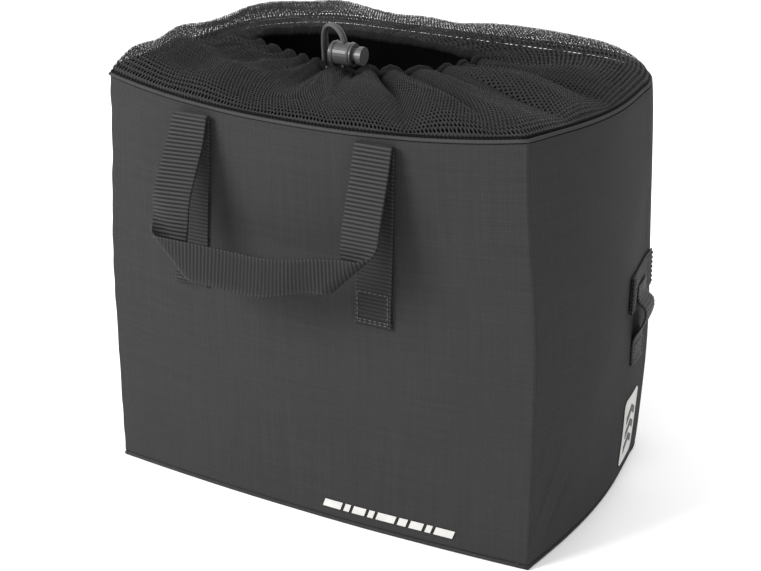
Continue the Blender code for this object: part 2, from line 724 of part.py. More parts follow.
def build_light_loop(webbing):
    """The stitched band and the loop for a rear light, on the right side."""
    band_line = right_side_points(CORNER_Y - LOOP_BAND_AHEAD, CORNER_Y, 4)
    band_line += corner_points(0, LOOP_BAND_WRAP, 2)[1:]
    band = strip(band_line, GAP, BAND_THICKNESS)
    add_part("light_loop_band",
             extruded("light_loop_band", band, LOOP_BAND_LOW, LOOP_BAND_LOW + WEBBING), webbing)

    middle_y = CORNER_Y - TONGUE_AHEAD + WEBBING / 2
    face_x = max(side_x(y) for y in (middle_y - WEBBING / 2, middle_y, middle_y + WEBBING / 2)) + GAP
    top = LOOP_BAND_LOW - GAP
    sewn_top = TONGUE_BOTTOM + TONGUE_SEWN
    middle = [(face_x + BAND_THICKNESS / 2, TONGUE_BOTTOM), (face_x + BAND_THICKNESS / 2, sewn_top)]
    reach = TONGUE_REACH
    middle += [(face_x + reach * 0.30, sewn_top + TONGUE_LOW_RISE),
               (face_x + reach * 0.75, sewn_top + TONGUE_MID_RISE),
               (face_x + reach, sewn_top + TONGUE_NOSE_RISE), (face_x + reach * 0.75, top - TONGUE_TOP_DROP),
               (face_x + BAND_THICKNESS / 2, top - BAND_THICKNESS / 2)]
    outline = offset_path(middle, -BAND_THICKNESS / 2, False)
    outline += list(reversed(offset_path(middle, BAND_THICKNESS / 2, False)))
    tongue = extruded("light_loop", outline, -WEBBING / 2, WEBBING / 2, along="Y")
    tongue.transform(Matrix.Translation((0.0, middle_y, 0.0)))
    add_part("light_loop", tongue, webbing)


def build_marks(reflective):
    """A plain reflective patch on the side and a plain bar on the front."""
    patch_line = right_side_points(CORNER_Y - PATCH_AHEAD, CORNER_Y, 3)
    wrap_angle = math.degrees((PATCH_LENGTH - PATCH_AHEAD) / REAR_RADIUS)
    patch_line += corner_points(0, wrap_angle, 2)[1:]
    patch = strip(patch_line, GAP, MARK_THICKNESS)
    add_part("side_reflective_patch",
             extruded("side_reflective_patch", patch, PATCH_LOW, PATCH_LOW + PATCH_HEIGHT), reflective)
    bar = strip(front_points(BAR_LEFT, BAR_LEFT + BAR_LENGTH, 5), GAP, MARK_THICKNESS)
    add_part("front_reflective_bar",
             extruded("front_reflective_bar", bar, BAR_LOW, BAR_LOW + BAR_HEIGHT), reflective)


def build_mount_plate(plastic, steel, wrap_panel, back_board):
    """The plate on the back, its steel backing inside and four screws."""
    outline = rounded_rectangle((0.0, PLATE_MIDDLE_Z), PLATE_WIDTH, PLATE_HEIGHT, PLATE_CORNER)
    plate = add_part("mounting_plate",
                     extruded("mounting_plate", outline, BACK_Y + GAP, PLATE_BACK_Y, along="Y"), plastic)
    rail_low = PLATE_MIDDLE_Z - RAIL_LENGTH / 2
    rail_high = PLATE_MIDDLE_Z + RAIL_LENGTH / 2
    neck_back = PLATE_BACK_Y + RAIL_NECK_DEPTH
    head_back = neck_back + RAIL_HEAD_DEPTH
    neck = RAIL_NECK_WIDTH / 2
    head = RAIL_HEAD_WIDTH / 2
    sunk = PLATE_BACK_Y - PLATE_THICKNESS / 2
    rail = [(-neck, sunk), (neck, sunk), (neck, neck_back), (head, neck_back), (head, head_back),
            (-head, head_back), (-head, neck_back), (-neck, neck_back)]
    join(plate, extruded("rail", rail, rail_low, rail_high))

    layer = BACK_Y - WALL - GAP - BACK_BOARD - GAP
    backing = add_part(
        "backing_plate",
        extruded("backing_plate", outline, layer - BACKING_THICKNESS, layer, along="Y"), steel)
    hole_radius = SCREW_RADIUS + SCREW_HOLE_CLEARANCE
    shank_end = layer - BACKING_THICKNESS
    for index, (across, up) in enumerate(((-1, -1), (1, -1), (1, 1), (-1, 1)), start=1):
        x = across * SCREW_SPACING_X / 2
        z = PLATE_MIDDLE_Z + up * SCREW_SPACING_Z / 2
        hole = ((x, shank_end - CUT_THROUGH, z), (x, PLATE_BACK_Y + CUT_THROUGH, z))
        for piece in (plate, backing, wrap_panel, back_board):
            cut(piece, cylinder("hole_%d" % index, *hole, hole_radius, sides=12))
        head_start = PLATE_BACK_Y + GAP
        shank_top = head_start + SCREW_HEAD_HEIGHT / 2
        shank = cylinder("mount_screw", (x, shank_end, z), (x, shank_top, z), SCREW_RADIUS, sides=12)
        screw = add_part("mount_screw_%d" % index, shank, steel)
        join(screw, cylinder("head", (x, head_start, z), (x, head_start + SCREW_HEAD_HEIGHT, z),
                             SCREW_HEAD_RADIUS, sides=16))
    return rail_low, rail_high, head_back


def clamp_profile(centre_y, centre_z, side):
    """Half of a clamp ring with its two bolt ears; side 1 is the far half."""
    outer = BAR_RADIUS + BAR_WALL
    split = CLAMP_SPLIT / 2
    start = math.degrees(math.asin(split / BAR_RADIUS))
    ear_top = outer + CLAMP_EAR
    ear_back = split + CLAMP_EAR_DEPTH
    blend = math.degrees(math.asin(ear_back / outer))
    half = [(split, ear_top), (ear_back, ear_top)]
    half += [(y, z) for y, z in arc((0, 0), outer, 90 - blend, -90 + blend, 12)]
    half += [(ear_back, -ear_top), (split, -ear_top)]
    half += [(y, z) for y, z in arc((0, 0), BAR_RADIUS, -90 + start, 90 - start, 12)]
    return [(centre_y + side * y, centre_z + z) for y, z in half]


def build_bracket(plastic, steel, rail_low, rail_high, head_back):
    """The handlebar bracket: rail socket, two bar clamps and its button."""
    socket_front = PLATE_BACK_Y + RAIL_CLEARANCE
    socket_back = head_back + RAIL_CLEARANCE + BRACKET_WALL
    neck = RAIL_NECK_WIDTH / 2 + RAIL_CLEARANCE
    head = RAIL_HEAD_WIDTH / 2 + RAIL_CLEARANCE
    neck_back = PLATE_BACK_Y + RAIL_NECK_DEPTH - RAIL_CLEARANCE
    half = BRACKET_WIDTH / 2
    bar_y = socket_back + BAR_RADIUS + BAR_WALL / 2
    bracket_low = rail_low - RAIL_CLEARANCE - BRACKET_FLOOR
    outline = [(-half, socket_front), (half, socket_front), (half, socket_back), (-half, socket_back)]
    bracket = add_part("handlebar_bracket",
                       extruded("handlebar_bracket", outline, bracket_low, rail_high), plastic)
    opening = socket_front - CUT_THROUGH
    socket = [(-neck, opening), (neck, opening), (neck, neck_back), (head, neck_back),
              (head, head_back + RAIL_CLEARANCE), (-head, head_back + RAIL_CLEARANCE),
              (-head, neck_back), (-neck, neck_back)]
    cut(bracket, extruded("socket", socket, rail_low - RAIL_CLEARANCE, rail_high + CUT_THROUGH))
    moving = [bracket]

    ear_middle = BAR_RADIUS + BAR_WALL + CLAMP_EAR / 2
    cap_y = bar_y + CLAMP_SPLIT / 2 + CLAMP_EAR_DEPTH
    arm_low = PLATE_MIDDLE_Z - ARM_HEIGHT / 2
    arm_high = PLATE_MIDDLE_Z + ARM_HEIGHT / 2
    for name, side in (("left", -1), ("right", 1)):
        middle = side * CLAMP_SPACING / 2
        low_x = middle - CLAMP_WIDTH / 2
        high_x = middle + CLAMP_WIDTH / 2
        saddle = extruded("saddle_" + name, clamp_profile(bar_y, PLATE_MIDDLE_Z, -1), low_x, high_x,
                          along="X")
        inner_x = side * (half - ARM_OVERLAP)
        arm = box("arm_" + name, (min(low_x, inner_x), socket_front + ARM_OVERLAP, arm_low),
                  (max(high_x, inner_x), bar_y - BAR_RADIUS - CUT_THROUGH, arm_high))
        join(bracket, arm)
        join(bracket, saddle)
        cap = add_part("clamp_cap_" + name,
                       extruded("clamp_cap_" + name, clamp_profile(bar_y, PLATE_MIDDLE_Z, 1),
                                low_x, high_x, along="X"), plastic)
        moving.append(cap)
        for place, up in (("upper", 1), ("lower", -1)):
            z = PLATE_MIDDLE_Z + up * ear_middle
            start = bar_y - CLAMP_SPLIT / 2 - CLAMP_EAR_DEPTH
            hole = ((middle, start - CUT_THROUGH, z), (middle, cap_y + CUT_THROUGH, z))
            for piece in (bracket, cap):
                cut(piece, cylinder("bolt_hole_%s_%s" % (name, place), *hole,
                                    BOLT_RADIUS + SCREW_HOLE_CLEARANCE, sides=12))
            bolt = add_part("clamp_bolt_%s_%s" % (name, place),
                            cylinder("clamp_bolt", (middle, start, z),
                                     (middle, cap_y + GAP + BOLT_HEAD_HEIGHT / 2, z), BOLT_RADIUS, sides=12),
                            steel)
            join(bolt, cylinder("head", (middle, cap_y + GAP, z), (middle, cap_y + GAP + BOLT_HEAD_HEIGHT, z),
                                BOLT_HEAD_RADIUS, sides=16))
            moving.append(bolt)

    return moving, bracket, bracket_low, socket_front, socket_back


def build_button(bracket, bracket_low, socket_front, socket_back, button_colour, spring_steel):
    """The release button in a block under the bracket, with its spring."""
    block_half = BUTTON_WIDTH / 2 + BUTTON_BLOCK_WALL
    block_low = bracket_low - BUTTON_HEIGHT - 2 * BUTTON_BLOCK_WALL
    block_high = bracket_low + BRACKET_FLOOR / 2
    block = box("button_block", (-block_half, socket_front, block_low), (block_half, socket_back, block_high))
    join(bracket, block)
    middle_z = (block_low + bracket_low) / 2
    pocket_floor = socket_front + POCKET_FLOOR
    pocket_half = BUTTON_WIDTH / 2 + BUTTON_FIT
    pocket_up = BUTTON_HEIGHT / 2 + BUTTON_FIT
    cut(bracket, box("button_pocket", (-pocket_half, pocket_floor, middle_z - pocket_up),
                     (pocket_half, socket_back + CUT_THROUGH, middle_z + pocket_up)))
    button_high = socket_back + BUTTON_TRAVEL
    button_low = button_high - BUTTON_DEPTH
    outline = rounded_rectangle((0.0, middle_z), BUTTON_WIDTH, BUTTON_HEIGHT, BUTTON_CORNER)
    button = add_part("release_button",
                      extruded("release_button", outline, button_low, button_high, along="Y"), button_colour)
    start = pocket_floor + GAP + SPRING_WIRE_RADIUS
    end = button_low - GAP - SPRING_WIRE_RADIUS
    coil = helix((0.0, start, middle_z), (0, 1, 0), end - start, BUTTON_SPRING_RADIUS, SPRING_TURNS)
    spring = tube("release_spring", coil, SPRING_WIRE_RADIUS)
    spring_part = add_part("release_spring", spring, spring_steel)
    pivot("release_button_axis", (0.0, button_high, middle_z), [button])
    return spring_part


def main():
    clear_scene()
    fabric = make_material("bag_fabric", (0.055, 0.055, 0.057), 0.85)
    board = make_material("stiffener_board", (0.10, 0.10, 0.10), 0.7)
    lining_cloth = make_material("lining_cloth", (0.02, 0.02, 0.02), 0.9)
    netting = make_material("netting", (0.03, 0.03, 0.03), 0.8)
    webbing = make_material("webbing", (0.045, 0.045, 0.046), 0.75)
    cord = make_material("cord", (0.03, 0.03, 0.03), 0.7)
    lock_plastic = make_material("lock_plastic", (0.16, 0.16, 0.16), 0.5)
    plunger_plastic = make_material("plunger_plastic", (0.05, 0.05, 0.05), 0.5)
    reflective = make_material("reflective", (0.60, 0.59, 0.56), 0.4)
    bracket_plastic = make_material("bracket_plastic", (0.03, 0.03, 0.03), 0.5)
    button_plastic = make_material("button_plastic", (0.35, 0.03, 0.02), 0.45)
    steel = make_material("steel", (0.45, 0.45, 0.46), 0.35, 1.0)

    wrap_panel, back_board = build_walls(fabric, board, lining_cloth)
    build_rim(webbing, steel)
    build_net(netting)
    build_drawcord(netting, cord, cord)
    build_lock(lock_plastic, plunger_plastic, steel)
    build_handle("front_handle", FRONT_HANDLE_X, -1, FRONT_HANDLE_LENGTH, FRONT_HANG_ANGLE, webbing)
    build_handle("rear_handle", REAR_HANDLE_X, 1, REAR_HANDLE_LENGTH, REAR_HANG_ANGLE, webbing)
    build_light_loop(webbing)
    build_marks(reflective)
    rail_low, rail_high, head_back = build_mount_plate(bracket_plastic, steel, wrap_panel, back_board)
    moving, bracket, bracket_low, front, back = build_bracket(
        bracket_plastic, steel, rail_low, rail_high, head_back)
    spring = build_button(bracket, bracket_low, front, back, button_plastic, steel)
    pivot("bracket_slide_axis", (0.0, front, bracket_low), moving + [spring])


main()
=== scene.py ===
# %% [markdown]
# # A handlebar basket
# The basket is a soft box bag of coated canvas. Its top is a net that gathers
# to a drawcord mouth, webbing handles hang on both faces, and a plate on its
# back lifts off a handlebar bracket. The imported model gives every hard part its
# size and place. This lesson dresses that frame, one material or piece a cell.

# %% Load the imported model
import math

import bmesh
import bpy
import numpy as np
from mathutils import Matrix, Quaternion, Vector


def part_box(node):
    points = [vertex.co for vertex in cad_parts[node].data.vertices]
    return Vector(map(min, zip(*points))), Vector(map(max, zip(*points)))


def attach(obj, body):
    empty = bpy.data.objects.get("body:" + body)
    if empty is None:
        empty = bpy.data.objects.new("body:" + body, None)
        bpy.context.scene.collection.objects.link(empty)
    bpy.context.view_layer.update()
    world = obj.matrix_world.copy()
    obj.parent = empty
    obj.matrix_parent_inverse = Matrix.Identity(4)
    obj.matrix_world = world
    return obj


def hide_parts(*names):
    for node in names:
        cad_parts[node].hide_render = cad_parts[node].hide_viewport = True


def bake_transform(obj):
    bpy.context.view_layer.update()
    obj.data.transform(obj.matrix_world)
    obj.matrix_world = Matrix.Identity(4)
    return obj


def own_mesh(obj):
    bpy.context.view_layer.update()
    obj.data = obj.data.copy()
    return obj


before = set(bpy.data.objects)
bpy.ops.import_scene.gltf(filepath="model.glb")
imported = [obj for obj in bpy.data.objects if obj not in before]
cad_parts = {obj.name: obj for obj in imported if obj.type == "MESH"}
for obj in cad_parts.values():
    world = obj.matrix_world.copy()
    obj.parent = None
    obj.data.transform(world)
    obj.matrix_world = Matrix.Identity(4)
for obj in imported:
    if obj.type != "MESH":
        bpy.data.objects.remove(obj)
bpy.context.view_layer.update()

RIM_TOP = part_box("rim_binding")[1].z
FRONT_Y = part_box("front_panel")[0].y + 0.010     # the corner seams, behind the bulge
BACK_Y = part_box("mounting_plate")[0].y - 0.0003

# %% [markdown]
# ## Camera
# A product shot of a bag is taken from a little above with a long lens, so
# that its upright edges stay nearly parallel. An empty could hold the aim, but
# a direction and a distance from a target are easier to read and to change.

# %% Place the camera
TARGET = Vector((0.0, -0.011, 0.1388))
AZIMUTH, ELEVATION, ROLL = (math.radians(angle) for angle in (28.694, 21.728, 0.20))
DISTANCE = 1.09264
back = Vector((math.sin(AZIMUTH) * math.cos(ELEVATION),
               -math.cos(AZIMUTH) * math.cos(ELEVATION), math.sin(ELEVATION)))
lens = bpy.data.cameras.new("camera")
lens.lens = 75.69
lens.sensor_width = 36.0
lens.shift_x, lens.shift_y = -0.0073, -0.0256
lens.clip_start = 0.05
camera = bpy.data.objects.new("camera", lens)
bpy.context.scene.collection.objects.link(camera)
camera.location = TARGET + back * DISTANCE
camera.rotation_mode = "QUATERNION"
camera.rotation_quaternion = (-back).to_track_quat("-Z", "Y") @ Quaternion((0, 0, 1), ROLL)
bpy.context.scene.camera = camera
print("camera", tuple(round(value, 3) for value in camera.location))

# %% [markdown]
# ## Light and floor
# Black canvas needs soft light from several sides, or its folds disappear. A
# white world gives the even part, a large lamp on the left draws the weave and
# the folds, a faint one on the right keeps the side open, and one from behind
# lifts the rim of the net.

# %% Light the stage
scene = bpy.context.scene
scene.view_settings.view_transform = "Standard"
world = bpy.data.worlds.new("studio")
world.use_nodes = True
world.node_tree.nodes["Background"].inputs["Color"].default_value = (1.0, 1.0, 1.0, 1.0)
world.node_tree.nodes["Background"].inputs["Strength"].default_value = 1.0
scene.world = world

LAMPS = (  # name, place, size, watts
    ("key_lamp", (-1.0, -1.4, 1.1), 0.9, 54.0),
    ("fill_lamp", (1.5, -1.1, 0.7), 1.2, 2.0),
    ("rim_lamp", (0.3, 1.5, 1.4), 0.9, 14.0),
)
for name, place, size, watts in LAMPS:
    data = bpy.data.lights.new(name, "AREA")
    data.energy, data.size = watts, size
    lamp = bpy.data.objects.new(name, data)
    lamp.location = place
    lamp.rotation_euler = (Vector((0.0, 0.0, 0.15)) - lamp.location).to_track_quat("-Z", "Y").to_euler()
    scene.collection.objects.link(lamp)


def link_mesh(name, verts, faces, smooth=True):
    """A mesh object from plain lists; its normals follow the order of each face's corners."""
    mesh = bpy.data.meshes.new(name)
    mesh.from_pydata([tuple(v) for v in verts], [], [tuple(f) for f in faces])
    if smooth:
        mesh.shade_smooth()
    obj = bpy.data.objects.new(name, mesh)
    scene.collection.objects.link(obj)
    return obj


FLOOR_HALF = 6.0
floor = link_mesh("floor", [(-FLOOR_HALF, -FLOOR_HALF, 0), (FLOOR_HALF, -FLOOR_HALF, 0),
                            (FLOOR_HALF, FLOOR_HALF, 0), (-FLOOR_HALF, FLOOR_HALF, 0)],
                  [(0, 1, 2, 3)], smooth=False)
print(len(LAMPS), "lamps")

# %% [markdown]
# ## Effects shared by several finishes
# Weave, net, grain and wear are used by more than one finish, so each is a
# node group. A group could hold a whole material, but then two finishes could
# not share one effect with different numbers. Here a group gives out only
# heights, masks and colours, and each material keeps its own shader.

# %% Small tools for building nodes
PI = math.pi


def node(tree, kind, *values, **settings):
    """A shader node; each value is a number, a colour, a link or None."""
    made = tree.nodes.new("ShaderNode" + kind)
    for key, value in settings.items():
        setattr(made, key, value)
    for socket, value in zip(made.inputs, values):
        if isinstance(value, bpy.types.NodeSocket):
            tree.links.new(value, socket)
        elif value is not None:
            socket.default_value = value
    return made


def calc(tree, operation, *values):
    """The result of one Math node."""
    return node(tree, "Math", *values, operation=operation).outputs[0]


def noise(tree, vector, scale, detail=2.0, roughness=0.5):
    """The value of a Noise node."""
    made = node(tree, "TexNoise", vector)
    for label, value in (("Scale", scale), ("Detail", detail), ("Roughness", roughness)):
        made.inputs[label].default_value = value
    return made.outputs["Fac"]


def mix(tree, share, first, second):
    """Two colours mixed by share."""
    made = tree.nodes.new("ShaderNodeMix")
    made.data_type = "RGBA"
    for label, value in (("Factor", share), ("A", first), ("B", second)):
        socket = next(s for s in made.inputs if s.name == label and (label == "Factor" or s.type == "RGBA"))
        if isinstance(value, bpy.types.NodeSocket):
            tree.links.new(value, socket)
        else:
            socket.default_value = value
    return next(s for s in made.outputs if s.type == "RGBA")


def spread(tree, value, low, high, to_low=0.0, to_high=1.0):
    """A value taken from one range to another, held at its ends."""
    made = node(tree, "MapRange", value, low, high, to_low, to_high)
    return made.outputs[0]


def group(name, inputs, outputs):
    """An empty node group and its two end nodes; an input given as "" is a place in space."""
    made = bpy.data.node_groups.new(name, "ShaderNodeTree")
    for label, default in inputs.items():
        kind = "Float" if isinstance(default, float) else "Color" if default else "Vector"
        socket = made.interface.new_socket(label, in_out="INPUT", socket_type="NodeSocket" + kind)
        if kind == "Float":
            socket.default_value = default
        elif kind == "Color":
            socket.default_value = (*default, 1.0)
    for label, kind in outputs.items():
        made.interface.new_socket(label, in_out="OUTPUT", socket_type="NodeSocket" + kind)
    return made, made.nodes.new("NodeGroupInput"), made.nodes.new("NodeGroupOutput")


# %% [markdown]
# ### Woven cloth
# Canvas is warp and weft threads that pass over and under each other. An image
# would repeat and blur, so the height is drawn from two rows of half waves that
# take turns in a checker, and uneven yarn gives the faint grid of real canvas.

# %% Weave group
weave, start, end = group("cloth_weave", {"Cloth": "", "Thread": 0.0008},
                          {"Height": "Float", "Yarn": "Float"})
place = node(weave, "SeparateXYZ", start.outputs["Cloth"])
across = calc(weave, "DIVIDE", place.outputs[0], start.outputs["Thread"])
along = calc(weave, "DIVIDE", place.outputs[1], start.outputs["Thread"])
turns = calc(weave, "ADD", calc(weave, "FLOOR", across), calc(weave, "FLOOR", along))
over = calc(weave, "PINGPONG", turns, 1.0)
warp = calc(weave, "ABSOLUTE", calc(weave, "SINE", calc(weave, "MULTIPLY", across, PI)))
weft = calc(weave, "ABSOLUTE", calc(weave, "SINE", calc(weave, "MULTIPLY", along, PI)))
height = calc(weave, "ADD", calc(weave, "MULTIPLY", over, warp),
              calc(weave, "MULTIPLY", calc(weave, "SUBTRACT", 1.0, over), weft))
weave.links.new(height, end.inputs["Height"])
slubs = []
for run, stay in ((across, along), (along, across)):
    line = node(weave, "CombineXYZ", calc(weave, "MULTIPLY", run, 0.55),
                calc(weave, "MULTIPLY", stay, 0.012), 3.0)
    slubs.append(noise(weave, line.outputs[0], 1.0, 3.0, 0.7))
weave.links.new(calc(weave, "MULTIPLY", calc(weave, "ADD", *slubs), 0.5), end.inputs["Yarn"])
print("weave group", len(weave.nodes), "nodes")

# %% [markdown]
# ### Net
# The top is a knitted net with round holes in a honeycomb. Modelling each hole
# would take a million faces, so the holes are cut by alpha: two square grids of
# dots, one shifted by half a step, make the honeycomb.

# %% Net group
net, start, end = group("net_holes", {"Cloth": "", "Step": 0.0024, "Hole": 0.37},
                        {"Thread": "Float", "Height": "Float"})
place = node(net, "SeparateXYZ", start.outputs["Cloth"])
ROW = math.sqrt(3.0)
distances = []
for shift in (0.0, 0.5):
    x = calc(net, "ADD", calc(net, "DIVIDE", place.outputs[0], start.outputs["Step"]), shift)
    steps_up = calc(net, "DIVIDE", place.outputs[1], start.outputs["Step"])
    y = calc(net, "ADD", calc(net, "DIVIDE", steps_up, ROW), shift)
    x = calc(net, "SUBTRACT", calc(net, "FRACT", x), 0.5)
    y = calc(net, "MULTIPLY", calc(net, "SUBTRACT", calc(net, "FRACT", y), 0.5), ROW)
    squares = calc(net, "ADD", calc(net, "MULTIPLY", x, x), calc(net, "MULTIPLY", y, y))
    distances.append(calc(net, "SQRT", squares))
near = calc(net, "MINIMUM", *distances)
rim = calc(net, "SUBTRACT", near, start.outputs["Hole"])
net.links.new(spread(net, rim, -0.03, 0.03), end.inputs["Thread"])
net.links.new(spread(net, rim, 0.0, 0.16), end.inputs["Height"])
print("net group", len(net.nodes), "nodes")

# %% [markdown]
# ### Grain, braid and wear
# Moulded plastic has a fine spark-eroded grain, cord is a braid of small
# diamonds, and everything gathers a little dust and loses colour unevenly. All
# three are small maps of height or shade, so they take noise and sine waves.

# %% Grain, braid and wear groups
grain, start, end = group("moulded_grain", {"Place": "", "Fineness": 1800.0},
                          {"Height": "Float", "Rough": "Float"})
fine = node(grain, "TexNoise", start.outputs["Place"])
grain.links.new(start.outputs["Fineness"], fine.inputs["Scale"])
fine.inputs["Detail"].default_value = 2.0
grain.links.new(fine.outputs["Fac"], end.inputs["Height"])
broad_grain = noise(grain, start.outputs["Place"], 60.0)
grain.links.new(spread(grain, broad_grain, 0.3, 0.7, 0.42, 0.60), end.inputs["Rough"])

braid, start, end = group("cord_braid", {"Cloth": "", "Step": 0.0011}, {"Height": "Float"})
place = node(braid, "SeparateXYZ", start.outputs["Cloth"])
waves = []
for sign in (1.0, -1.0):
    slant = calc(braid, "MULTIPLY_ADD", place.outputs[0], sign, place.outputs[1])
    steps_along = calc(braid, "DIVIDE", slant, start.outputs["Step"])
    waves.append(calc(braid, "ABSOLUTE", calc(braid, "SINE", calc(braid, "MULTIPLY", steps_along, PI))))
braid.links.new(calc(braid, "MAXIMUM", *waves), end.inputs["Height"])

wear, start, end = group("dust_and_wear",
                         {"Colour": (0.05, 0.05, 0.05), "Place": "", "Dust": 0.1, "Fade": 0.07},
                         {"Colour": "Color", "Rough": "Float"})
cloud = noise(wear, start.outputs["Place"], 9.0, 4.0, 0.6)
speck = spread(wear, noise(wear, start.outputs["Place"], 420.0, 3.0, 0.65), 0.60, 0.78)
clustered = calc(wear, "MULTIPLY", speck, spread(wear, cloud, 0.35, 0.7))
patchy = calc(wear, "MULTIPLY", clustered, start.outputs["Dust"])
faded = node(wear, "HueSaturation")
swing = spread(wear, cloud, 0.3, 0.7, -1.0, 1.0)
wear.links.new(calc(wear, "MULTIPLY_ADD", swing, start.outputs["Fade"], 1.0), faded.inputs["Value"])
wear.links.new(start.outputs["Colour"], faded.inputs["Color"])
DUST_COLOUR = (0.42, 0.40, 0.37, 1.0)
wear.links.new(mix(wear, patchy, faded.outputs[0], DUST_COLOUR), end.inputs["Colour"])
wear.links.new(spread(wear, cloud, 0.3, 0.7, 0.72, 0.92), end.inputs["Rough"])
print("groups", [g.name for g in bpy.data.node_groups])

# %% [markdown]
# ## Finishes
# Every finish is one Principled shader fed by the groups. Cloth pieces carry a
# flat map called cloth, whose numbers are metres on the uncut cloth, so threads
# keep their size and follow the folds. Hard parts read their place in space.

# %% Finish builder
CLOTH_MAP = "cloth"


def finish(name, colour, dust, bump, strength, pattern, on_cloth=True, rough=None, depth=0.28, **constants):
    """A Principled material; pattern(tree, place) returns a height and a shade.

    bump is the relief in metres, rough the range of roughness, and depth how
    far the shade goes to each side of the colour.
    """
    made = bpy.data.materials.new(name)
    made.use_nodes = True
    tree = made.node_tree
    shader = tree.nodes["Principled BSDF"]
    if on_cloth:
        place = node(tree, "UVMap", uv_map=CLOTH_MAP).outputs[0]
    else:
        place = node(tree, "TexCoord").outputs["Object"]
    space = node(tree, "TexCoord").outputs["Object"]
    worn = node(tree, "Group", node_tree=wear)
    tree.links.new(space, worn.inputs["Place"])
    worn.inputs["Dust"].default_value = dust
    worn.inputs["Fade"].default_value = min(dust * 2.0, 0.07)
    height, shade = pattern(tree, place)
    tone = mix(tree, shade, tuple((1.0 - depth) * c for c in colour) + (1.0,),
               tuple((1.0 + depth) * c for c in colour) + (1.0,))
    tree.links.new(tone, worn.inputs["Colour"])
    tree.links.new(worn.outputs["Colour"], shader.inputs["Base Color"])
    if rough is None:
        tree.links.new(worn.outputs["Rough"], shader.inputs["Roughness"])
    else:
        tree.links.new(spread(tree, worn.outputs["Rough"], 0.72, 0.92, *rough), shader.inputs["Roughness"])
    bumped = node(tree, "Bump")
    bumped.inputs["Strength"].default_value = strength
    bumped.inputs["Distance"].default_value = bump
    tree.links.new(height, bumped.inputs["Height"])
    tree.links.new(bumped.outputs[0], shader.inputs["Normal"])
    for label, value in constants.items():
        shader.inputs[label.replace("_", " ")].default_value = value
    return made


def woven(step, yarn_low=0.40, yarn_high=0.60):
    """Woven cloth with a thread every step."""
    def draw(tree, place):
        made = node(tree, "Group", node_tree=weave)
        tree.links.new(place, made.inputs["Cloth"])
        made.inputs["Thread"].default_value = step
        yarn = spread(tree, made.outputs["Yarn"], yarn_low, yarn_high)
        high = calc(tree, "MULTIPLY_ADD", made.outputs["Height"], 0.6, calc(tree, "MULTIPLY", yarn, 0.7))
        shade = calc(tree, "MULTIPLY_ADD", made.outputs["Height"], 0.35, calc(tree, "MULTIPLY", yarn, 0.55))
        return high, shade
    return draw


def moulded(fineness):
    """The grain of a moulded or rolled surface."""
    def draw(tree, place):
        made = node(tree, "Group", node_tree=grain)
        tree.links.new(place, made.inputs["Place"])
        made.inputs["Fineness"].default_value = fineness
        return made.outputs["Height"], spread(tree, made.outputs["Rough"], 0.42, 0.60, 0.35, 0.65)
    return draw


def ribs(pitch):
    """Webbing: a raised rib across it every pitch, in phase with the ribs of the mesh; painted shade darkens
    the valleys between the ribs.
    """
    def draw(tree, place):
        made = node(tree, "Group", node_tree=weave)
        tree.links.new(place, made.inputs["Cloth"])
        made.inputs["Thread"].default_value = pitch / 4
        along = calc(tree, "DIVIDE", node(tree, "SeparateXYZ", place).outputs[1], pitch / (2 * PI))
        rib = calc(tree, "MULTIPLY_ADD", calc(tree, "SINE", along), 0.5, 0.5)
        high = calc(tree, "MULTIPLY_ADD", made.outputs["Height"], 0.35, rib)
        # The shade follows the ribs: painted shade, darkest in each valley.
        return high, calc(tree, "MULTIPLY_ADD", made.outputs["Height"], 0.2, calc(tree, "MULTIPLY", rib, 0.9))
    return draw


def plain(tree, place):
    """No relief and one shade."""
    flat = calc(tree, "MULTIPLY", node(tree, "SeparateXYZ", place).outputs[2], 0.0)
    return flat, calc(tree, "ADD", flat, 0.5)


def braided(step):
    """Braided cord with a strand every step."""
    def draw(tree, place):
        made = node(tree, "Group", node_tree=braid)
        tree.links.new(place, made.inputs["Cloth"])
        made.inputs["Step"].default_value = step
        return made.outputs["Height"], made.outputs["Height"]
    return draw


# %% [markdown]
# ### The finishes of this basket
# The names say what a maker would order: coated canvas, folded tape, ribbed
# webbing, braided cord, glass-filled nylon. The shade range of each is set
# around its real darkness, because black goods are really dark grey.

# %% Make the finishes
def hard(name, colour, dust, bump, strength, fineness, rough=None, **constants):
    """A finish with a moulded grain, which lies in space and not on a cloth."""
    return finish(name, colour, dust, bump, strength, moulded(fineness), False, rough, **constants)


canvas = finish("coated_canvas", (0.0250, 0.0250, 0.0255), 0.02, 0.0003, 1.0, woven(0.0011, 0.20, 0.80),
                rough=(0.78, 0.95), depth=0.5, Sheen_Weight=0.01, Sheen_Roughness=0.5,
                Specular_IOR_Level=0.11)
base_canvas = finish("base_canvas", (0.024, 0.024, 0.025), 0.20, 0.00016, 0.5, woven(0.0011),
                     rough=(0.8, 0.95), Specular_IOR_Level=0.14)
tape = finish("folded_tape", (0.034, 0.034, 0.035), 0.02, 0.00015, 0.5, woven(0.0007),
              rough=(0.7, 0.9), Specular_IOR_Level=0.10)
lining_cloth = finish("lining_cloth", (0.0035, 0.0035, 0.0037), 0.02, 0.0001, 0.3, woven(0.0005),
                      rough=(0.85, 0.97), Specular_IOR_Level=0.06)
RIB = 0.0025                        # pitch of the webbing's ribs
# The webbing's wide shade range is mostly painted shade in the valleys of its ribs.
webbing = finish("ribbed_webbing", (0.0165, 0.0165, 0.0168), 0.02, 0.0003, 1.0, ribs(RIB),
                 rough=(0.45, 0.65), depth=0.85, Sheen_Weight=0.01, Sheen_Roughness=0.4,
                 Specular_IOR_Level=0.15)
cord_yarn = finish("braided_cord", (0.040, 0.040, 0.041), 0.10, 0.0003, 0.8, braided(0.0011),
                   rough=(0.5, 0.7))
thread = hard("sewing_thread", (0.045, 0.045, 0.046), 0.05, 0.0001, 0.3, 4000.0, (0.45, 0.6))
board = hard("fibre_board", (0.10, 0.10, 0.10), 0.10, 0.0002, 0.4, 900.0)
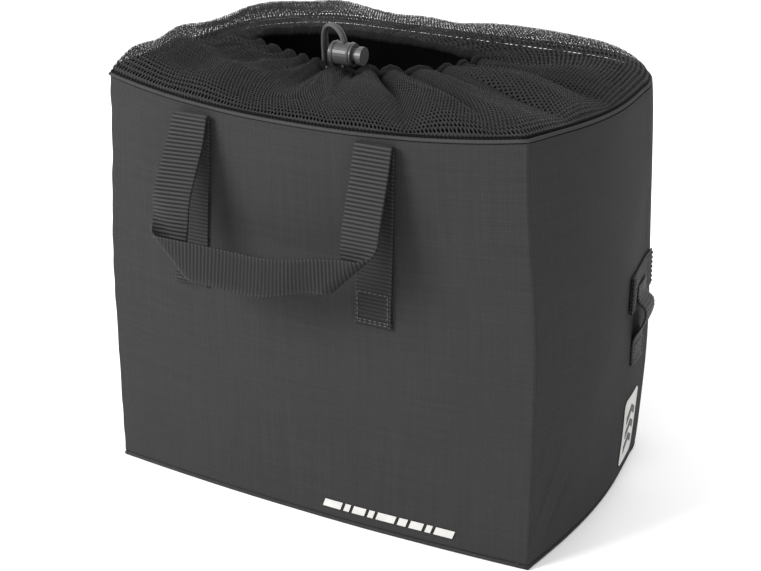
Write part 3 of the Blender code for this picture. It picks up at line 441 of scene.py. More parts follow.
lock_grey = hard("lock_plastic", (0.045, 0.045, 0.046), 0.03, 0.00006, 0.4, 2600.0, (0.32, 0.46),
                 Specular_IOR_Level=0.35)
plunger_grey = hard("plunger_plastic", (0.055, 0.055, 0.057), 0.05, 0.00006, 0.4, 2600.0, (0.35, 0.5))
nylon = hard("bracket_nylon", (0.022, 0.022, 0.023), 0.16, 0.0001, 0.6, 1500.0, (0.42, 0.62))
button_red = hard("button_plastic", (0.42, 0.030, 0.020), 0.05, 0.00006, 0.4, 2200.0, (0.32, 0.48))
steel = hard("steel", (0.50, 0.50, 0.51), 0.05, 0.00008, 0.3, 1200.0, (0.26, 0.42), Metallic=1.0)
dark_print = hard("dark_print", (0.035, 0.035, 0.036), 0.05, 0.00005, 0.3, 2000.0, (0.5, 0.7))
reflective = hard("reflective_film", (0.44, 0.43, 0.415), 0.10, 0.00005, 0.3, 3000.0, (0.34, 0.5))
netting = finish("net", (0.016, 0.016, 0.0164), 0.015, 0.0003, 0.6, woven(0.0006),
                 rough=(0.6, 0.85), Specular_IOR_Level=0.14)
hem_cloth = finish("hem_net", (0.008, 0.008, 0.0083), 0.015, 0.0004, 0.9, woven(0.0013),
                   rough=(0.7, 0.9), Specular_IOR_Level=0.08)

tree = netting.node_tree
holes = node(tree, "Group", node_tree=net)
tree.links.new(node(tree, "UVMap", uv_map=CLOTH_MAP).outputs[0], holes.inputs["Cloth"])
tree.links.new(holes.outputs["Thread"], tree.nodes["Principled BSDF"].inputs["Alpha"])
bumped = next(n for n in tree.nodes if n.type == "BUMP")
tree.links.new(holes.outputs["Height"], bumped.inputs["Height"])

pale = finish("studio_floor", (0.98, 0.98, 0.98), 0.0, 0.0001, 0.0, plain, on_cloth=False,
              Specular_IOR_Level=0.0)
floor.data.materials.append(pale)
print(len(bpy.data.materials), "finishes")

# %% [markdown]
# ## The bag's outline
# The bag is one lofted shell: at each height its outline runs along the bowed
# front, two bowed sides, two round rear corners and a flat back. Five flat
# plates would look like a box, so the bow, the pinch of the top corners and
# the rear radius all change with height, and the rim sags between its corners.

# %% Outline of the bag at a height
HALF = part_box("front_panel")[1].x
FRONT, RIGHT, RIGHT_CORNER, BACK, LEFT_CORNER, LEFT = range(6)
SIDES = (FRONT, RIGHT, RIGHT_CORNER, BACK, LEFT_CORNER, LEFT)


def ease(value, low, high):
    """0 below low, 1 above high and a smooth step between."""
    share = np.clip((np.asarray(value, float) - low) / (high - low), 0.0, 1.0)
    return share * share * (3.0 - 2.0 * share)


def bow(t):
    """0 at both ends of a run and 1 in its middle."""
    return 1.0 - (2.0 * t - 1.0) ** 2


def sizes_at(h):
    """The outline's sizes at a share h of the bag's height."""
    top = ease(h, 0.45, 1.0)
    belly = np.sin(PI * np.clip(h, 0.0, 1.0))
    return {
        "right": HALF + 0.0008 - 0.0102 * top,
        "left": HALF + 0.0002 - 0.0066 * top,
        "front_bow": 0.0068 + 0.0054 * ease(h, 0.0, 1.0),
        "side_bow": 0.0078 + 0.0012 * top + 0.0026 * belly,
        "rear": HALF + 0.0012 + 0.0028 * top + 0.0052 * belly ** 0.6,
        "radius": 0.046 + 0.026 * ease(h, 0.2, 1.0),
    }


def outline_point(side, t, h):
    """The outer wall in plan: x and y of a share t along one side."""
    t, h = np.broadcast_arrays(np.asarray(t, float), np.asarray(h, float))
    s = sizes_at(h)
    corner_y = BACK_Y - s["radius"]
    if side == FRONT:
        x = -s["left"] + (s["left"] + s["right"]) * t
        return x, FRONT_Y - s["front_bow"] * bow(t)
    if side in (RIGHT, LEFT):
        run = t if side == RIGHT else 1.0 - t
        seam = s["right"] if side == RIGHT else s["left"]
        x = seam + (s["rear"] - seam) * run + s["side_bow"] * np.sin(PI * run)
        return (x if side == RIGHT else -x), FRONT_Y + (corner_y - FRONT_Y) * run
    if side == BACK:
        return (s["rear"] - s["radius"]) * (1.0 - 2.0 * t), np.full(t.shape, BACK_Y)
    turn = PI / 2 * (t if side == RIGHT_CORNER else 1.0 - t)
    x = s["rear"] - s["radius"] + s["radius"] * np.cos(turn)
    return (x if side == RIGHT_CORNER else -x), corner_y + s["radius"] * np.sin(turn)


def rim_height(x, y):
    """The rim's height: it sags in the middle of the front and rises to the seams."""
    front = np.clip((0.02 - y) / 0.13, 0.0, 1.0) ** 2
    return RIM_TOP - 0.0035 + front * (0.0095 * (np.abs(x) / 0.15) ** 2.4 - 0.0010) + (1.0 - front) * 0.0035


# %% [markdown]
# ### Creases and dents
# Foam-backed canvas isn't flat: it has long shallow waves, and small puckers
# where a seam gathers it. A cloth simulation of a stiff laminate would move it
# by less than a millimetre, so a few sine waves with fixed phases do the same.

# %% Waves of the cloth
rng = np.random.default_rng(11)
WAVES = [(rng.uniform(18, 75), rng.uniform(10, 60), rng.uniform(0, 2 * PI), rng.uniform(0.10, 0.26))
         for _ in range(9)]
PUCKER = [(rng.uniform(150, 330), rng.uniform(0, 2 * PI)) for _ in range(4)]
SIDE_CREASES = (  # share along the side, share of the height, slope, width, depth in metres
    (0.10, 0.16, 1.1, 0.010, 0.0011),
    (0.17, 0.12, 0.8, 0.014, -0.0009),
    (0.06, 0.25, 1.6, 0.008, 0.0007),
)


def dent(side, t, h):
    """How far the wall stands out of its outline, in metres."""
    t, h = np.broadcast_arrays(np.asarray(t, float), np.asarray(h, float))
    x, y = outline_point(side, t, h)
    a = x - y if side != BACK else x
    b = h * RIM_TOP
    wave = sum(size * np.sin(fa * a + fb * b + phase) for fa, fb, phase, size in WAVES) * 0.001
    quiet = 0.25 if side == BACK else 0.8
    seams = np.zeros(t.shape)
    if side in (FRONT, RIGHT, LEFT):
        near_seam = t if side == RIGHT else (1.0 - t if side == LEFT else np.minimum(t, 1.0 - t))
        left_top = 1.0 + 1.6 * ease(h, 0.70, 0.85) * (x < 0)
        ripple = sum(np.sin(f * b + phase) for f, phase in PUCKER) * 0.00010
        seams = ripple * np.exp(-near_seam * 0.30 / 0.010) * left_top
    crease = 0.0
    if side == RIGHT:
        for at_t, at_h, slope, width, deep in SIDE_CREASES:
            off = (h - at_h) - slope * (t - at_t)
            crease = crease + deep * np.exp(-(off / width) ** 2 - ((t - at_t) / 0.07) ** 2)
    return wave * quiet * np.sin(PI * np.clip(h, 0.0, 1.0)) ** 0.5 + seams + crease


def wall(side, t, h, out=0.0):
    """A point on the wall, out metres outside its surface, as x, y and z."""
    t, h = np.broadcast_arrays(np.asarray(t, float), np.asarray(h, float))
    step = 1e-4
    x, y = outline_point(side, t, h)
    x0, y0 = outline_point(side, t - step, h)
    x1, y1 = outline_point(side, t + step, h)
    run = np.hypot(x1 - x0, y1 - y0)
    push = dent(side, t, h) + out
    z = h * rim_height(x, y)
    return np.stack([x + push * (y1 - y0) / run, y - push * (x1 - x0) / run, z], -1)


ring = np.concatenate([wall(side, np.linspace(0, 1, 30, endpoint=False), 1.0) for side in SIDES])
RIM_LENGTH = float(np.linalg.norm(np.roll(ring, -1, 0) - ring, axis=1).sum())
print("rim", round(RIM_LENGTH, 3), "m round")

# %% [markdown]
# ### Grids into cloth
# Nearly every soft piece is a grid of points with a flat map in metres. One
# helper turns such a grid into a sheet, and gives it thickness towards its
# back, so the side that shows stays exactly where the outline puts it.

# %% Grid and sheet helpers
def thicken(obj, thickness, offset=0.0):
    """Thickness for a sheet: evenly about it at offset 0, behind it at offset -1."""
    shell = obj.modifiers.new("thickness", "SOLIDIFY")
    shell.thickness = thickness
    shell.offset = offset


def grid_mesh(name, points, flat, material, round_way=False, thickness=0.0):
    """A sheet from an array of points, rows by columns, with its map in metres."""
    rows, columns = points.shape[:2]
    wraps = columns if round_way else columns - 1
    index = np.arange(rows * columns).reshape(rows, columns)
    faces, corners = [], []
    for row in range(rows - 1):
        for column in range(wraps):
            right = (column + 1) % columns
            faces.append((index[row, column], index[row, right],
                          index[row + 1, right], index[row + 1, column]))
            corners += [flat[row, column], flat[row, column + 1],
                        flat[row + 1, column + 1], flat[row + 1, column]]
    obj = link_mesh(name, points.reshape(-1, 3), faces)
    layer = obj.data.uv_layers.new(name=CLOTH_MAP)
    layer.uv.foreach_set("vector", np.array(corners, np.float32).ravel())
    obj.data.materials.append(material)
    if thickness:
        thicken(obj, thickness, -1.0)
    return obj


def flat_of(across, along):
    """The flat map of a grid from its columns' and rows' places in metres."""
    return np.stack(np.meshgrid(across, along), -1)


def apply_modifiers(obj):
    """Work a piece's modifiers into its mesh."""
    depsgraph = bpy.context.evaluated_depsgraph_get()
    made = bpy.data.meshes.new_from_object(obj.evaluated_get(depsgraph))
    obj.modifiers.clear()
    obj.data = made


def lengths(points):
    """The distance along a row of points to each of them."""
    steps = np.linalg.norm(np.diff(points, axis=0), axis=-1)
    return np.concatenate([[0.0], np.cumsum(steps)])


# %% [markdown]
# ## Walls and base
# The front is one panel and the sides and back are a second one, sewn to it at
# the two front corners. Where two panels meet, both turn in by their seam
# allowance, which leaves a fine dark groove: the edges of each grid roll in.

# %% Front, wrap and base
LOW_H = 0.0034 / RIM_TOP
TOP_H = 1.0 - 0.0030 / RIM_TOP
ROLL = 0.0016                       # radius of an edge that turns in to a seam
FABRIC = 0.0011                     # thickness of the coated canvas


def rolled(distance):
    """How far a surface has turned in, at a distance from its seam."""
    near = np.clip(1.0 - distance / ROLL, 0.0, 1.0)
    return -ROLL * (1.0 - np.sqrt(np.clip(1.0 - near ** 2, 0.0, 1.0)))


def edge_spaced(count, edge):
    """Shares from 0 to 1 with extra ones close to both ends."""
    close = edge * np.array([0.0, 0.12, 0.3, 0.55, 0.8])
    return np.concatenate([close, np.linspace(edge * 1.3, 1.0 - edge * 1.3, count), 1.0 - close[::-1]])


rows = edge_spaced(90, ROLL / RIM_TOP) * (TOP_H - LOW_H) + LOW_H
row_z = rows * RIM_TOP
row_roll = rolled(row_z - row_z[0])


def wall_grid(parts):
    """Points of a wall made of several sides; its two ends roll in to their seams."""
    blocks, flats, start = [], [], 0.0
    for number, (side, count) in enumerate(parts):
        shares = np.linspace(0.0, 1.0, count + 1)
        if side in (FRONT, RIGHT, LEFT):
            shares = edge_spaced(count, ROLL / 0.2)
        if number < len(parts) - 1:
            shares = shares[:-1]
        t, h = np.meshgrid(shares, rows)
        x, y = outline_point(side, shares, 0.5)
        ends = np.hypot(x[1:] - x[:-1], y[1:] - y[:-1])
        far = np.concatenate([[0.0], np.cumsum(ends)])
        last = outline_point(side, 1.0, 0.5)
        total = far[-1] + math.hypot(last[0] - x[-1], last[1] - y[-1])
        inward = np.zeros(len(shares))
        if side in (FRONT, RIGHT):
            inward = inward + rolled(far)
        if side in (FRONT, LEFT):
            inward = inward + rolled(total - far)
        blocks.append(wall(side, t, h, np.minimum(inward[None, :], row_roll[:, None])))
        flats.append(start + far)
        start += total
    return np.concatenate(blocks, 1), flat_of(np.concatenate(flats), row_z)


front_points, front_flat = wall_grid([(FRONT, 110)])
front_cloth = grid_mesh("front_cloth", front_points, front_flat, canvas, thickness=FABRIC)
wrap_points, wrap_flat = wall_grid([(RIGHT, 60), (RIGHT_CORNER, 22), (BACK, 50), (LEFT_CORNER, 22),
                                    (LEFT, 60)])
wrap_cloth = grid_mesh("side_and_back_cloth", wrap_points, wrap_flat, canvas, thickness=FABRIC)
for piece, stands_for in ((front_cloth, "front_panel"), (wrap_cloth, "wrap_panel")):
    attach(piece, "bag")
    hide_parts(stands_for)


def closed_outline(h, inset=0.0, per_side=26):
    """The whole outline at one height, moved in by inset."""
    shares = np.linspace(0, 1, per_side, endpoint=False)
    points = np.concatenate([wall(side, shares, h) for side in SIDES])
    if inset:
        ahead = np.roll(points, -1, 0) - np.roll(points, 1, 0)
        ahead = ahead[:, :2] / np.linalg.norm(ahead[:, :2], axis=1)[:, None]
        points[:, :2] += inset * np.stack([-ahead[:, 1], ahead[:, 0]], -1)
    return points


def filled_loft(name, loops, material):
    """A closed solid through loops of points, with flat maps in metres."""
    middle = [loops[0].mean(0), loops[-1].mean(0)]
    inner = [middle[0] + (loops[0] - middle[0]) * share for share in (0.02, 0.35, 0.7, 0.9)]
    outer = [middle[1] + (loops[-1] - middle[1]) * share for share in (0.9, 0.7, 0.35, 0.02)]
    points = np.stack(inner + list(loops) + outer)
    closed = np.concatenate([points, points[:, :1]], 1)
    flat = closed[:, :, :2] + closed[:, :, 2:] * np.array([0.0, 1.0])
    obj = grid_mesh(name, points, flat, material, round_way=True)
    bm = bmesh.new()
    bm.from_mesh(obj.data)
    bmesh.ops.holes_fill(bm, edges=bm.edges)
    bmesh.ops.recalc_face_normals(bm, faces=bm.faces)
    bm.to_mesh(obj.data)
    bm.free()
    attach(obj, "bag")
    return obj


def with_z(points, z):
    """The same loop laid flat at one height."""
    moved = points.copy()
    moved[:, 2] = z
    return moved


BASE_EDGE = ((0.0022, 0.0), (0.0005, 0.0005), (0.0, 0.0017), (0.0005, 0.0028), (0.0024, 0.0031))  # in, up
base_loops = [with_z(closed_outline(LOW_H, inset), z) for inset, z in BASE_EDGE]
base_cloth = filled_loft("base_cloth", base_loops, base_canvas)
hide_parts("base_panel")
print("walls", len(front_points) * front_points.shape[1], "points on the front")

# %% [markdown]
# ## Stiffeners, hoop and lining
# Inside the laminate are fibre boards in the base, front and back, a sprung
# steel hoop that keeps the rim open, and a black lining. They hardly show, but
# the mouth looks into the bag, so the lining is a real inner bag with a floor.

# %% Boards, hoop and lining
board_in = closed_outline(0.02, 0.0026)
base_board = filled_loft("base_stiffener", [with_z(board_in, 0.0034), with_z(board_in, 0.0072)], board)
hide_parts("base_board")

t, h = np.meshgrid(np.linspace(0.06, 0.94, 40), np.linspace(0.03, 0.93, 30))
BOARD_WIDE, BOARD_HIGH = 0.31, 0.27
front_board = grid_mesh("front_stiffener", wall(FRONT, t, h, -0.0020),
                        flat_of(t[0] * BOARD_WIDE, h[:, 0] * BOARD_HIGH), board, thickness=0.0030)
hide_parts("front_board")
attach(front_board, "bag")


def tube_mesh(name, path, radius, material, closed=False, sides=12):
    """A round tube along points, mapped in metres, as a mesh."""
    path = np.asarray(path, float)
    radius = np.broadcast_to(np.asarray(radius, float), (len(path),))
    if closed:
        ahead = np.roll(path, -1, 0) - np.roll(path, 1, 0)
    else:
        ahead = np.gradient(path, axis=0)
    ahead /= np.linalg.norm(ahead, axis=1)[:, None]
    side = np.cross(ahead[0], (0.0, 0.0, 1.0) if abs(ahead[0][2]) < 0.9 else (1.0, 0.0, 0.0))
    frames = []
    for direction in ahead:
        side = side - direction * side.dot(direction)
        side /= np.linalg.norm(side)
        frames.append((side, np.cross(direction, side)))
    turn = np.linspace(0, 2 * PI, sides, endpoint=False)
    loops = [place + r * (np.outer(np.cos(turn), a) + np.outer(np.sin(turn), b))
             for place, r, (a, b) in zip(path, radius, frames)]
    far = lengths(path)
    if closed:
        loops.append(loops[0])
        far = np.append(far, far[-1] + np.linalg.norm(path[0] - path[-1]))
    points = np.stack(loops)
    flat = flat_of(np.linspace(0, 2 * PI * float(radius.mean()), sides + 1), far)
    obj = grid_mesh(name, points, flat, material, round_way=True)
    bm = bmesh.new()
    bm.from_mesh(obj.data)
    if closed:
        bmesh.ops.remove_doubles(bm, verts=bm.verts, dist=1e-6)
    else:
        bmesh.ops.holes_fill(bm, edges=bm.edges)
    bmesh.ops.recalc_face_normals(bm, faces=bm.faces)
    bm.to_mesh(obj.data)
    bm.free()
    return obj


hoop_line = closed_outline(0.945, 0.0042)
hoop = tube_mesh("rim_spring_hoop", hoop_line, 0.0014, steel, closed=True)
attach(hoop, "bag")
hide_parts("rim_hoop")

LINING_IN = 0.0088
lining_rows = []
floor_loop = with_z(closed_outline(0.05, LINING_IN), 0.0088)
for share in (0.03, 0.3, 0.6, 0.85, 0.97):
    lining_rows.append(floor_loop.mean(0) + (floor_loop - floor_loop.mean(0)) * share)
lining_rows += [with_z(floor_loop, 0.0098)]
for h_row in np.linspace(0.06, TOP_H, 22):
    lining_rows.append(closed_outline(h_row, LINING_IN - 0.003 * float(ease(h_row, 0.9, 1.0))))
lining_points = np.stack(lining_rows)[:, ::-1]
lining_far = lengths(lining_points[:, 0])
lining_map = flat_of(np.linspace(0, RIM_LENGTH, lining_points.shape[1] + 1), lining_far)
lining = grid_mesh("lining_bag", lining_points, lining_map, lining_cloth, round_way=True,
                   thickness=0.0006)
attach(lining, "bag")
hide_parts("lining")
print("lining", lining_points.shape)

# %% [markdown]
# ## Rim
# The panels and the net meet in one folded edge round the rim, pressed flat so
# that it reads as a thin light line with a dark one above it. It is a small
# bead swept round the rim. The dark line is painted shadow: a near-black tube
# just inside the bead stands for the shadow gap between the net and the edge.

# %% Folded edge of the rim
rim_loop = closed_outline(1.0, 0.0006, 60)
rim_loop[:, 2] -= 0.0014
rim_edge = tube_mesh("rim_folded_edge", rim_loop, 0.00115, tape, closed=True, sides=12)
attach(rim_edge, "bag")
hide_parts("rim_binding")
# Painted shadow: a near-black tube in the lining's cloth, in the gap between the net and the folded edge.
rim_shadow_loop = closed_outline(1.0, 0.0020, 60)
rim_shadow_loop[:, 2] += 0.0004
rim_shadow_tube = tube_mesh("rim_painted_shadow_tube", rim_shadow_loop, 0.0009, lining_cloth, closed=True, sides=8)
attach(rim_shadow_tube, "bag")
print("rim edge", len(rim_edge.data.polygons), "faces")

# %% [markdown]
# ## Cord, lock and knot
# The drawcord runs in the hem of the net. Its two ends come out through one
# opening, pass through the spring lock, stand up, turn over and hang back down
# with one knot. A soft cord holds such a bend by itself, so no simulation is
# needed: one helper draws a smooth curve through a few places, and another
# spaces its points evenly where cloth is to hang on it.

# %% Smooth lines through points
def smooth_line(points, steps, closed=False):
    """A Catmull-Rom line through points."""
    points = np.asarray(points, float)
    padded = np.concatenate([points[-1:], points, points[:2]]) if closed else \
        np.concatenate([2 * points[:1] - points[1:2], points, 2 * points[-1:] - points[-2:-1]])
    share = np.linspace(0, 1, steps, endpoint=False)[:, None]
    out = []
    for p0, p1, p2, p3 in zip(padded, padded[1:], padded[2:], padded[3:]):
        out.append(0.5 * (2 * p1 + (p2 - p0) * share + (2 * p0 - 5 * p1 + 4 * p2 - p3) * share ** 2
                          + (3 * p1 - p0 - 3 * p2 + p3) * share ** 3))
    line = np.concatenate(out)
    return line if closed else np.concatenate([line, points[-1:]])


def evenly(points, count, closed=False):
    """The same line as count points at even distances."""
    points = np.concatenate([points, points[:1]]) if closed else points
    far = lengths(points)
    wanted = np.linspace(0, far[-1], count, endpoint=not closed)
    return np.stack([np.interp(wanted, far, points[:, axis]) for axis in range(3)], -1)


# %% [markdown]
# The mouth is half shut and lies a little to the left, long and narrow. Its
# back edge is higher than its front one, where the lock pulls it down.

# %% Mouth of the net
MOUTH = [(0.058, 0.010, 0.2845), (0.040, 0.0165, 0.2865), (0.010, 0.0195, 0.288),
         (-0.030, 0.0205, 0.2885), (-0.065, 0.0195, 0.288), (-0.090, 0.0115, 0.2865),
         (-0.1055, -0.006, 0.284), (-0.092, -0.0185, 0.282), (-0.068, -0.0275, 0.2805),
         (-0.040, -0.034, 0.2795), (-0.018, -0.03475, 0.278), (-0.010, -0.0352, 0.2785),
         (0.020, -0.030, 0.2805), (0.043, -0.0165, 0.282)]
COLUMNS = 520                       # columns of the net, round its whole length
mouth_line = evenly(smooth_line(MOUTH, 24, closed=True), COLUMNS, closed=True)
LOCK = np.array((-0.018, -0.03475, 0.2815))
mouth_closed = np.concatenate([mouth_line, mouth_line[:1]])
print("mouth", round(float(lengths(mouth_closed)[-1]), 3), "m round")

# %% [markdown]
# Both ends follow one route above the lock. Each place of the route also has
# an angle, by which the pair has turned round itself there, so the two strands
# never cross through one another. They end in one trefoil knot.

# %% Strands of the cord and their knot
CORD = 0.0026                       # diameter
TWIST = 0.0015                      # from the route to the middle of each strand
ROUTE = [(0, 0, -0.0010, 0), (0, 0, 0.0060, 0), (0, 0, 0.0130, 0), (-0.0006, 0.0001, 0.0180, 0),
         (-0.0030, 0.0004, 0.0222, 0), (-0.0068, 0.0010, 0.0250, 0), (-0.0110, 0.0018, 0.0258, 0),
         (-0.0146, 0.0028, 0.0240, 0), (-0.0168, 0.0040, 0.0200, 4), (-0.0178, 0.0054, 0.0140, 16),
         (-0.0182, 0.0070, 0.0060, 32), (-0.0184, 0.0084, -0.0030, 48), (-0.0182, 0.0094, -0.0130, 60),
         (-0.0178, 0.0098, -0.0230, 65)]
strands = []
for name, hand in (("cord_strand_near", -1.0), ("cord_strand_far", 1.0)):
    route = []
    for x, y, z, turn in ROUTE:
        angle = math.radians(turn)
        route.append(LOCK + (x + hand * TWIST * math.sin(angle), y + hand * TWIST * math.cos(angle), z))
    path = smooth_line(route, 4)
    strand = tube_mesh(name, path, CORD / 2, cord_yarn, sides=14)
    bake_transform(strand)
    strands.append((strand, path, float(lengths(path)[-1])))
    print(name, round(strands[-1][2], 4), "m")

turns = np.linspace(0, 2 * PI, 70, endpoint=False)
knot_out = 2 + np.cos(3 * turns)
knot_line = 0.00125 * np.stack([knot_out * np.cos(2 * turns), knot_out * np.sin(2 * turns),
                                1.25 * np.sin(3 * turns)], -1)
knot_place = LOCK + (-0.0178, 0.0098, -0.0270)
knot = tube_mesh("cord_end_knot_turns", knot_line + knot_place, 0.0013, cord_yarn, closed=True, sides=10)
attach(knot, "cord_lock")
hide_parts("cord_end_knot")

# %% [markdown]
# The rest of the cord runs round the mouth and shows only as the fullness of
# the hem, so it stays a plain ring.

# %% Cord inside the hem
hem_cord = tube_mesh("cord_in_hem", mouth_line, CORD / 2, cord_yarn, closed=True, sides=8)
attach(hem_cord, "bag")
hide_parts("drawcord")

# %% [markdown]
# ## Net collar
# A strip of net almost a metre long is sewn flat to the rim at one edge and
# gathered to less than half of its length on the cord at the other. So its
# pleats are deepest at the cord and die out towards the rim, neighbours merge
# into broad folds on the way, and the cloth stands up in a soft roll near the
# rim. The folds are built with the same count as the puckers of the hem, as
# one causes the other, and the net's own map makes its holes narrow where the
# cloth is gathered.

# %% Net between the rim and the mouth
rim_line = evenly(closed_outline(1.0, 0.0010, 90), 2400, closed=True)


def start_at(line, x, y):
    """The index of the point of a line nearest to a place in plan."""
    return int(np.argmin(np.hypot(line[:, 0] - x, line[:, 1] - y)))


def part_of(line, first, last, count):
    """Count even points from one index forward to another."""
    last = last if last > first else last + len(line)
    return line[np.linspace(first, last, count, endpoint=False).astype(int) % len(line)]


def from_tip_to_tip(line, right_x, left_x):
    """A ring of the net's columns, half of them on each way between its two tips."""
    right, left = start_at(line, right_x, 0.010), start_at(line, left_x, -0.006)
    return np.concatenate([part_of(line, right, left, COLUMNS // 2),
                           part_of(line, left, right, COLUMNS // 2)])


rim_ring = from_tip_to_tip(rim_line, 0.2, -0.2)
mouth_ring = from_tip_to_tip(evenly(smooth_line(MOUTH, 24, closed=True), 2400, closed=True), 0.06, -0.11)

u = np.arange(COLUMNS) / COLUMNS    # share of the way round
bearing = np.arctan2(rim_ring[:, 1], rim_ring[:, 0])
GATHERS = 24
gather_phase = (2 * PI * GATHERS * u + 1.4 * np.sin(2 * PI * 3 * u + 0.7)
                + 0.9 * np.sin(2 * PI * 7 * u + 2.0))
left_side = ease(-rim_ring[:, 0], 0.03, 0.14)
right_side = ease(rim_ring[:, 0], 0.02, 0.12)
back_side = ease(rim_ring[:, 1], -0.02, 0.08)
front_side = ease(-rim_ring[:, 1], 0.02, 0.09)
puff = 0.0040 * front_side + 0.0072 * back_side + 0.004
puff = puff + 0.0025 * right_side * (1 - front_side) + 0.0066 * left_side * (1 - 0.6 * back_side)


def ridge(phase):
    """Rounded ridges with narrow valleys, from -1 to 1."""
    return 2.0 * np.abs(np.cos(phase / 2)) ** 0.8 - 1.0


NET_ROWS = 60
LOWEST_NET = 0.2695                 # the valleys rest on the rim's folded edge
v = np.linspace(0.0, 1.0, NET_ROWS)[:, None]    # share of the way from the rim to the mouth
near_mouth = ease(v, 0.35, 1.0)
blend_v = v ** 0.96
net_points = rim_ring[None] * (1 - blend_v[..., None]) + mouth_ring[None] * blend_v[..., None]
lift = puff[None] * np.sin(PI * v ** 0.58)
pleat = 0.0036 * (1 - 0.75 * back_side)[None] * ridge(gather_phase)[None] * near_mouth
calm_back = (1 - 0.6 * back_side)[None]
merged = 0.0023 * calm_back * np.sin(gather_phase / 2 + 0.6)[None] * np.sin(PI * v ** 0.8) ** 0.8
broad = 0.0022 * calm_back * np.sin(2 * PI * 6 * u + 5.0 * v + 0.4) * np.sin(PI * v)
corner_fold = ease(0.95 - np.abs(bearing + 0.75), 0.0, 0.5)
strong = 0.0038 * corner_fold[None] * ridge(2 * PI * 19 * u)[None] * np.sin(PI * v ** 0.75)
across_left = np.sin(2 * PI * (3.3 * v + 1.1 * u[None] + 0.1))
ripples = 0.0024 * left_side[None] * across_left * np.sin(PI * v ** 0.8) ** 0.7
fine = 0.0006 * np.sin(2 * PI * 97 * u + 6 * v) * (0.3 + 0.7 * near_mouth) * np.sin(PI * v) ** 0.5
rise = lift + pleat + merged + broad + strong + ripples + fine
inward = mouth_ring[None, :, :2] - rim_ring[None, :, :2]
inward = inward / np.linalg.norm(inward, axis=2)[..., None]
net_points[..., 2] += rise
net_points[..., :2] -= inward * (0.35 * rise * np.sin(PI * v))[..., None]
net_points[..., 2] = np.maximum(net_points[..., 2], LOWEST_NET)
sway = 0.0016 * np.sin(gather_phase / 3 + 1.0)[None] * np.sin(PI * v)
net_points[..., 0] += -inward[..., 1] * sway
net_points[..., 1] += inward[..., 0] * sway

NET_LENGTH, NET_DEPTH = 0.98, 0.085
net_flat = flat_of(np.linspace(0, NET_LENGTH, COLUMNS + 1), np.linspace(0, NET_DEPTH, NET_ROWS))
net = grid_mesh("net_collar", net_points, net_flat, netting, round_way=True)
under = net_points - (0.0, 0.0, 0.0008)
net_under = grid_mesh("net_yarn_undersides", under, net_flat, netting, round_way=True)
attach(net_under, "bag")
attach(net, "bag")
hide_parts("mesh_collar")
print("net", net_points.reshape(-1, 3).min(0).round(4), net_points.reshape(-1, 3).max(0).round(4))

# %% [markdown]
# The hem is the net's edge turned over the cord and sewn: a soft tunnel that
# fills out between the gathers and pinches at each one.

# %% Gathered hem
HEM_SIDES = 14
ahead = np.roll(mouth_ring, -1, 0) - np.roll(mouth_ring, 1, 0)
ahead /= np.linalg.norm(ahead, axis=1)[:, None]
flat_side = np.cross(ahead, (0.0, 0.0, 1.0))
flat_side /= np.linalg.norm(flat_side, axis=1)[:, None]
up_side = np.cross(flat_side, ahead)
fill = 0.5 + 0.5 * ridge(gather_phase)
hem_radius = (0.0027 + 0.0004 * np.sin(2 * PI * 5 * u + 1.0)
              + (0.0014 * fill - 0.0006) * (1 - 0.85 * back_side))
loops = []
for angle in np.linspace(0, 2 * PI, HEM_SIDES, endpoint=False):
    crease = 1.0 + 0.05 * np.sin(gather_phase * 3.1 + 2.5 * math.sin(angle))
    wide = (hem_radius * crease)[:, None]
    loops.append(mouth_ring + flat_side * wide * math.cos(angle) * 0.85
                 + up_side * wide * math.sin(angle) * 1.1)
loops.append(loops[0])
hem_points = np.stack(loops)
hem_points[..., 2] += (0.0030 * (1 - 0.75 * back_side) * (ridge(gather_phase) * 0.5 + 0.1))[None]
hem_flat = flat_of(np.linspace(0, NET_LENGTH, COLUMNS + 1), np.linspace(0, 0.016, HEM_SIDES + 1))
hem = grid_mesh("net_hem", hem_points, hem_flat, hem_cloth, round_way=True)
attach(hem, "bag")
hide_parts("drawcord_channel")

# %% [markdown]
# ### Springs
# The imported springs are plain sleeves. A real one is a coil that gets shorter
# as its plunger or button goes in; here each sleeve gives way to a coil of
# wire at its full length. The imported cord strands are hidden, since the
# strands drawn above take their place.

# %% Springs and the cord in its lock
def coil_spring(name, stands_for, axis, body, turns, wire=0.0003):
    """A coil spring in the room of its modelled one, which it hides."""
    low_corner, high_corner = (np.array(corner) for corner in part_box(stands_for))
    middle = (low_corner + high_corner) / 2
    long = high_corner[axis] - low_corner[axis]
    others = [k for k in range(3) if k != axis]
    radius = min(high_corner[k] - low_corner[k] for k in others) / 2 - wire
    line = []
    for share in np.linspace(0, 1, turns * 20):
        point = middle.copy()
        point[axis] = low_corner[axis] + wire + (long - 2 * wire) * share
        point[others[0]] += radius * math.cos(2 * PI * turns * share)
        point[others[1]] += radius * math.sin(2 * PI * turns * share)
        line.append(point)
    obj = tube_mesh(name, line, wire, steel, sides=8)
    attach(obj, body)
    anchor = middle.copy()
    anchor[axis] = low_corner[axis]
    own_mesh(obj)
    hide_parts(stands_for)
    return obj


lock_coil = coil_spring("lock_coil_spring", "cord_lock_spring", 0, "cord_lock", 5)
coil_spring("button_coil_spring", "release_spring", 1, "bracket", 3)
barrel, plunger = bpy.data.objects["cord_lock_barrel"], bpy.data.objects["cord_lock_plunger"]
for (strand, path, length), extra in zip(strands, ((knot, barrel, plunger, lock_coil), ())):
    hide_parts("cord_strand_front" if extra else "cord_strand_back")

# %% [markdown]
# ## Handles
# Each handle is one length of 25 mm webbing: up the panel, over a tight fold,
# down as a leg, round a 45 degree fold where the flat strap turns sideways,
# across as the grip, and the same again. The diagonal fold is what a real
# flat strap does at a corner, since it can't bend in its own plane. Its ribs
# run across it, so they are rows of the grid that stand up and down.

